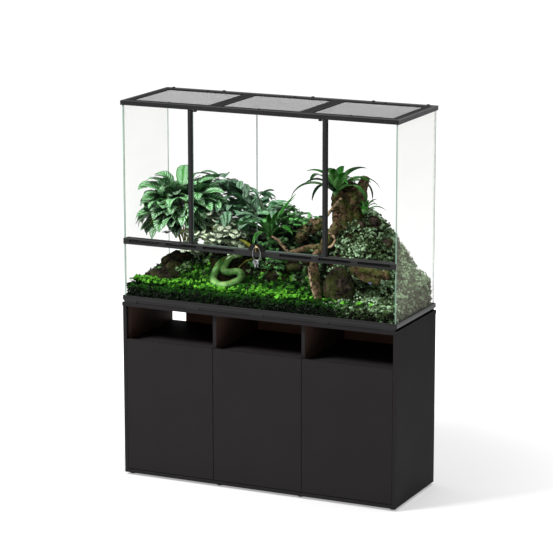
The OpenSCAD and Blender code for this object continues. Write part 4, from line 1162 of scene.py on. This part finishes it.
wood = join([
    limb(from_stump((0, 0, -28, 60), (4, 2, 10, 55), (8, 4, 60, 47), (12, 6, 116, 42)), 40, 48,
         7, 0.11, 3),
    limb(from_stump((12, 6, 90, 36), (34, 10, 140, 26), (46, 12, 170, 18), (51, 12, 186, 12)),
         24, 24, 4, 0.16, 5, 0.3),
    limb(from_stump((-6, -6, 50, 38), (-30, -28, 92, 32), (-50, -52, 124, 24)), 26, 30, 5, 0.14, 8),
    limb(from_stump((-8, 0, 40, 48), (-2, 0, 100, 48), (4, 4, 140, 36), (10, 8, 156, 22)),
         30, 40, 6, 0.16, 21),
    limb(from_stump((-46, -6, -10, 38), (-50, -6, 50, 38), (-46, -8, 96, 33), (-40, -10, 122, 22)),
         30, 36, 5, 0.15, 23),
    limb(from_stump((-42, -45, -5, 24), (-80, -105, -85, 19), (-96, -160, -150, 18),
                    (-54, -204, -288, 16)), 90, 28, 5, 0.13, 11, 0.22),
    limb(from_stump((66, -160, -146, 10), (92, -190, -158, 14), (150, -206, -178, 12),
                    (204, -204, -184, 11)), 50, 20, 4, 0.15, 14, 0.15),
    limb([(82, 22, 1010, 20), (112, 12, 1044, 25), (150, 12, 1070, 26), (200, 20, 1092, 22)],
         34, 28, 5, 0.2, 31, 0.28),
    limb([(40, -70, 950, 9), (110, -78, 982, 11), (170, -78, 1004, 10), (232, -62, 1008, 8)],
         36, 14, 3, 0.15, 33, 0.2),
    limb([(236, -50, 1060, 5), (262, -66, 1062, 5), (280, -66, 1046, 5), (270, -70, 1020, 5),
          (248, -66, 1008, 5)], 30, 10, 3, 0.1, 35, 0.95),
    limb([(232, -44, 1128, 6), (258, -38, 1166, 6), (292, -34, 1206, 5)], 20, 10, 3, 0.1, 37, 0.8),
    limb([(-532, 26, 862, 20), (-490, 16, 884, 22), (-440, 16, 900, 21), (-396, 26, 898, 16)],
         34, 28, 5, 0.14, 39, -0.6),
    limb([(-30, -6, 1018, 6), (10, -26, 1010, 7), (48, -42, 986, 7), (76, -54, 962, 5)],
         26, 10, 3, 0.15, 41, 0.6),
    limb([(372, -86, 930, 17), (430, -92, 930, 19), (520, -84, 922, 17)], 30, 22, 4, 0.16, 43, 0.1),
    limb([(203, -150, 945, 4), (222, -168, 880, 4.5), (249, -176, 806, 4.5)],
         20, 10, 3, 0.1, 45, 0.95),
])


def bark(name, dark, middle, moss, warm):
    """Bark: dark cracks, a warm tint and moss in patches. The tone turns it to peeled pale wood."""
    finish = Finish(name)
    tone = finish.attribute("tone")
    grain = finish.noise(90, 5, 0.7)
    crack = finish.cells(75)
    fine = finish.noise(420, 3, 0.6)
    moss_spots = finish.noise(24, 4, 0.6).rises(0.45, 0.58) * tone.rises(0.6, 0.2)
    warm_spots = finish.noise(38, 2).rises(0.5, 0.66)
    shade = finish.mix(grain.rises(0.35, 0.68), dark, middle)
    shade = finish.mix(warm_spots * 0.5, shade, warm)
    shade = finish.mix(moss_spots * fine.rises(0.3, 0.6) * 0.85, shade, moss)
    shade = finish.mix(tone.rises(0.0, 1.0) * grain.rises(0.4, 0.6), shade, colour(188, 164, 132))
    shade = finish.mix(tone.rises(0.0, -0.8), shade, dark)
    return finish.surface({
        "Base Color": shade,
        "Roughness": grain * 0.25 + 0.65,
        "Specular IOR Level": 0.05,
        "Normal": finish.bump(grain * 0.7 - crack * 0.4 + fine * 0.25, 0.008),
    })


wood_finish = bark("driftwood", colour(10, 8, 4), colour(94, 80, 54), colour(70, 86, 30),
                   colour(140, 104, 86))
make_piece("driftwood_limbs", inside(wood, 12.0), wood_finish, ["driftwood"])

# %% [markdown]
# ## Stones
# A stone is a ball whose radius is pushed in and out by smooth noise and cut by a few flat faces.

# %% Stones
def ball(middle, size, seed, rows=40, columns=56, cuts=9):
    """A ball with random flat faces: each face limits how far a direction may reach."""
    pick = np.random.default_rng(seed)
    polar = np.linspace(0, np.pi, rows + 2)[1:-1, None]
    angle = np.arange(columns)[None] * 2 * np.pi / columns
    way = np.stack([np.sin(polar) * np.cos(angle), np.sin(polar) * np.sin(angle),
                    np.cos(polar) * np.ones_like(angle)], -1)
    face = pick.normal(size=(cuts, 3))
    face /= np.linalg.norm(face, axis=1, keepdims=True)
    reach = pick.uniform(0.72, 0.9, cuts)
    toward = np.maximum(way @ face.T, 1e-3)
    radius = np.minimum(1.0, (reach / toward).min(axis=-1))
    points = middle + way * radius[..., None] * np.asarray(size) / 2
    relief = 2.2 * lumps(points, 26, seed) + 1.0 * lumps(points, 9, seed + 1)
    points = points + way * relief[..., None]
    poles = np.array([middle + (0, 0, radius[0].mean() * size[2] / 2),
                      middle - (0, 0, radius[-1].mean() * size[2] / 2)])
    faces = skin_faces(rows, columns)[:, ::-1]
    pattern = np.stack([polar + 0 * angle, 0 * polar + angle], -1).reshape(-1, 2) / 6.3
    return Skin(np.concatenate([points.reshape(-1, 3), poles]), faces,
                np.concatenate([pattern, [[0, 0], [1, 1]]]), np.zeros(rows * columns + 2))


def on_ground(x, y, up):
    """A place so far above the bank."""
    return np.array([x, y, ground(x, y) + up])


stones = join([
    ball(on_ground(-inner_x + 105, -inner_y + 131, 12), (160, 92, 66), 5),
    ball(on_ground(-inner_x + 102, -inner_y + 215, 16), (96, 66, 92), 6),
    ball(on_ground(inner_x - 274, -inner_y + 77, 24), (134, 80, 172), 7, cuts=6),
    ball(on_ground(384, 66, 12), (72, 60, 58), 51, 24, 32),
    ball(on_ground(440, 70, 8), (60, 56, 46), 52, 24, 32),
    ball(on_ground(352, 20, 8), (46, 40, 40), 53, 24, 32),
    ball(on_ground(10, -70, 8), (70, 54, 46), 55, 24, 32),
    ball(on_ground(90, -40, 6), (84, 60, 50), 56, 24, 32),
])
stone_finish = bark("stone", colour(8, 7, 4), colour(64, 56, 46), colour(58, 68, 24),
                    colour(104, 86, 80))
make_piece("boulders", stones, stone_finish, ["rocks"])

# %% [markdown]
# ## Pale ground cover on the hill
# The right hill is covered with a mat of tiny pale leaves, each about a centimetre long, with dark
# soil between them. They are the same small lenses as the clover, in tufts.

# %% Pale cover
def hill_share(x, y):
    """Dense on the right hill, with bare patches, and thin round the stump's foot."""
    patches = 0.5 + 0.5 * flat_lumps(x, y, 60, 31)
    near_stump = bell(x, stump_x, 55) * bell(y, stump_y, 55)
    side = ease(180, 290, x) + ease(60, 150, x) * ease(40, 120, y) * 0.4
    front = 0.25 + 0.75 * ease(0, 60, y + inner_y) + 0.6 * ease(300, 400, x)
    even = 0.45 + 0.5 * ease(0.25, 0.6, patches)
    return side.clip(0, 1) * front.clip(0, 1) * even * (1 - 0.2 * near_stump)


def hill_skin():
    """Leaves in tufts of five round a middle: each has its own height and leans away from it."""
    x, y = spread(4700, (60, reach_x), (-reach_y, reach_y), hill_share)
    each = 5
    middle = np.stack([x, y, ground(x, y)], -1).repeat(each, axis=0)
    turn = many(len(middle), 0, 2 * np.pi)
    away = np.stack([np.cos(turn), np.sin(turn), np.zeros_like(turn)], -1)
    lift = many(len(middle), 0, 1) ** 0.7
    up = ground_slope(middle[:, 0], middle[:, 1])
    rise = 2 + lift * (11 + 6 * lumps(middle, 50, 33))
    place = middle + away * many(len(middle), 0.5, 4.5)[:, None] + up * rise[:, None]
    normal = tilted(up + away * 0.35 + np.array([0, -0.2, 0.1]), 0.3)
    # Painted shade: leaves low in a tuft are darker
    light = lift ** 1.6 * (0.85 + 0.5 * lumps(middle, 42, 34))
    tone = uneven(0.9 * light, 0.2)
    return small_leaves(place, normal, turn, many(len(middle), 6.5, 11), 1.2, tone)


pale_finish = small_leaf_finish("pale_cover", colour(8, 10, 3), colour(62, 84, 46),
                                colour(176, 212, 170), 0.4)
make_piece("pale_ground_cover", inside(hill_skin(), 8.0), pale_finish, smooth=False)
pale_edge = join([
    edge_skin([(0, 1, 3000), (1, 1, 400)], (7, 11.5), 0.24, 0.66, (330, reach_x), 0.7),
    edge_skin([(1, -1, 800)], (7, 11.5), -0.1, 0.55, (330, reach_x), 0.5),
])
make_piece("pale_cover_edge", pale_edge, pale_finish, smooth=False)

# %% [markdown]
# ## The snake
# A green snake lies in one loop near the front. Its body follows the same loop as the frame's
# solid and is a little thicker. The scales are a fine diamond pattern, small orange dots are
# spread over the upper half, and the underside is dark: painted shade.

# %% Snake
snake_path = np.array([
    (-14, 46), (-32, 38), (-44, 28), (-52, 15), (-59, 0), (-60, -18), (-46, -34),
    (-18, -44), (10, -40), (35, -28), (53, -16), (59, 0), (43, 9), (22, 8),
    (-2, 3), (-22, 6), (-25, 16), (-17, 28), (-2, 40), (22, 50), (42, 54)], float)
snake_radius = 15.5


def snake_skin(rows=260, columns=28):
    """The body thins to the tail and the neck, and ends in a flat head with a blunt snout."""
    line = curve(snake_path, rows) + snake_middle
    u = np.linspace(0, len(snake_path) - 1, rows)
    girth = snake_radius * (0.75 + 0.25 * ease(0, 3, u)) * (1 - 0.28 * ease(17, 19, u))
    z = ground(line[:, 0], line[:, 1]) + 1.1 * girth + 0.8 * snake_radius * ease(15, 18, u)
    path = np.stack([line[:, 0], line[:, 1], z], -1)[None]
    tail = 0.15 + 0.85 * ease(-0.1, 1.2, u)
    head = ease(18.9, 19.5, u)
    snout = np.sqrt(np.clip(1 - ((u - 19.3) / 0.75).clip(0, 1) ** 2.4, 0.02, 1))
    width = girth * tail * (1 + 0.55 * head) * snout
    height = girth * tail * (1 - 0.05 * head) * snout
    way = np.gradient(path, axis=1)
    way /= np.linalg.norm(way, axis=-1, keepdims=True)
    side = np.cross((0.0, 0.0, 1.0), way)
    side /= np.linalg.norm(side, axis=-1, keepdims=True)
    return sweep(path, side, np.cross(way, side), width[None], height[None], columns, 0.5,
                 around=True)


skin_finish = Finish("snake_skin")
along, around = skin_finish.along_leaf()
long_way = along * 150
round_way = around * 26
scales = (long_way + round_way).wave() * (long_way - round_way).wave()
# The underside mask: painted shade on the lower half of the body
underside_shade = around.rises(0.5, 0.62) * around.rises(1.0, 0.88)
on_side = skin_finish.node("CombineXYZ", {}, {0: along * 40, 1: around * 7})
dot = skin_finish.cells(1.0, on_side)
dots = dot.rises(0.2, 0.13) * around.rises(0.02, 0.06) * around.rises(0.52, 0.46)
tint = skin_finish.mix(skin_finish.noise(26, 3).rises(0.3, 0.7), colour(66, 142, 46),
                       colour(164, 222, 126))
# Painted shade on the underside
tint = skin_finish.mix(underside_shade * 0.9, tint, colour(34, 46, 20))
tint = skin_finish.mix(scales.rises(0.25, 0.0) * 0.25, tint, colour(24, 60, 20))
tint = skin_finish.mix(dots, tint, colour(204, 84, 34))
snake_finish = skin_finish.surface({
    "Base Color": tint,
    "Roughness": skin_finish.noise(60, 2) * 0.15 + 0.2,
    "Specular IOR Level": 0.5,
    "Normal": skin_finish.bump(scales, 0.0006),
})
make_piece("green_snake", snake_skin(), snake_finish, ["snake"])

# %% [markdown]
# ## Lid mesh and vent gauze
# The lids are covered with fine wire cloth. Straight wires cross at a small pitch, and each wire
# has four sides, so that thousands of crossings cost few faces. A dark gauze of the same kind
# stands upright in the vents of the bar.

# %% Wire cloth
def cloth(low, high, wire_pitch=2.0, wire_size=0.28):
    """Wires both ways inside a rectangle: each is a tube of four sides and two rings."""
    x0, y0, z0 = low
    x1, y1, z1 = high
    level = (z0 + z1) / 2
    xs = np.arange(x0 + wire_pitch / 2, x1, wire_pitch)
    ys = np.arange(y0 + wire_pitch / 2, y1, wire_pitch)
    one = np.stack([np.stack([xs, 0 * xs + y0, 0 * xs + level + 0.2], -1),
                    np.stack([xs, 0 * xs + y1, 0 * xs + level + 0.2], -1)], 1)
    two = np.stack([np.stack([0 * ys + x0, ys, 0 * ys + level - 0.2], -1),
                    np.stack([0 * ys + x1, ys, 0 * ys + level - 0.2], -1)], 1)
    return tubes(np.concatenate([one, two]), wire_size, 4)


for side in ("left", "middle", "right"):
    name = "lid_mesh_" + side
    low, high = [np.array(corner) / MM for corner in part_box(name)]
    make_piece("wire_cloth_" + side, cloth(low, high), wire_finish, [name],
               "lid_" + side, smooth=False)

grille_low, grille_high = [np.array(corner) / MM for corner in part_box("vent_grilles")]
gauze = cloth(grille_low[[0, 2, 1]], grille_high[[0, 2, 1]], 1.2, 0.45)
gauze = gauze._replace(points=gauze.points[:, [0, 2, 1]], faces=gauze.faces[:, ::-1])
make_piece("vent_gauze", gauze, grille_finish, smooth=False)

# %% [markdown]
# ## Skirt under the tank
# The tank stands on small feet, and a gap of a few millimetres is left under its base frame. Seen
# from the front right the gap is grey and not black, so two thin strips close it just behind the
# feet, in the frame's own finish. What really closes it is a guess.

# %% Skirt between the tank's feet
def slab(low, high):
    """A plain block between two corners, its faces outwards."""
    corners = np.array([(x, y, z) for x in (low[0], high[0]) for y in (low[1], high[1])
                        for z in (low[2], high[2])])
    faces = np.array([(0, 1, 3, 2), (4, 6, 7, 5), (0, 4, 5, 1), (2, 3, 7, 6), (0, 2, 6, 4),
                      (1, 5, 7, 3)])
    return Skin(corners, faces, np.zeros((8, 2)), np.zeros(8))


skirt_low, skirt_high = [np.array(corner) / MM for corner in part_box("base_frame_feet")]
skirt_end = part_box("base_frame")[1].x / MM - 8
skirt_thick = 2.5
skirt_behind = 2.6    # behind the feet's outer faces
skirt_play = 0.3      # above and below
skirts = [slab((-skirt_end, y, skirt_low[2] + skirt_play),
               (skirt_end, y + skirt_thick, skirt_high[2] - skirt_play))
          for y in (skirt_low[1] + skirt_behind, skirt_high[1] - skirt_behind - skirt_thick)]
make_piece("base_frame_skirt", join(skirts), rail_finish, smooth=False)
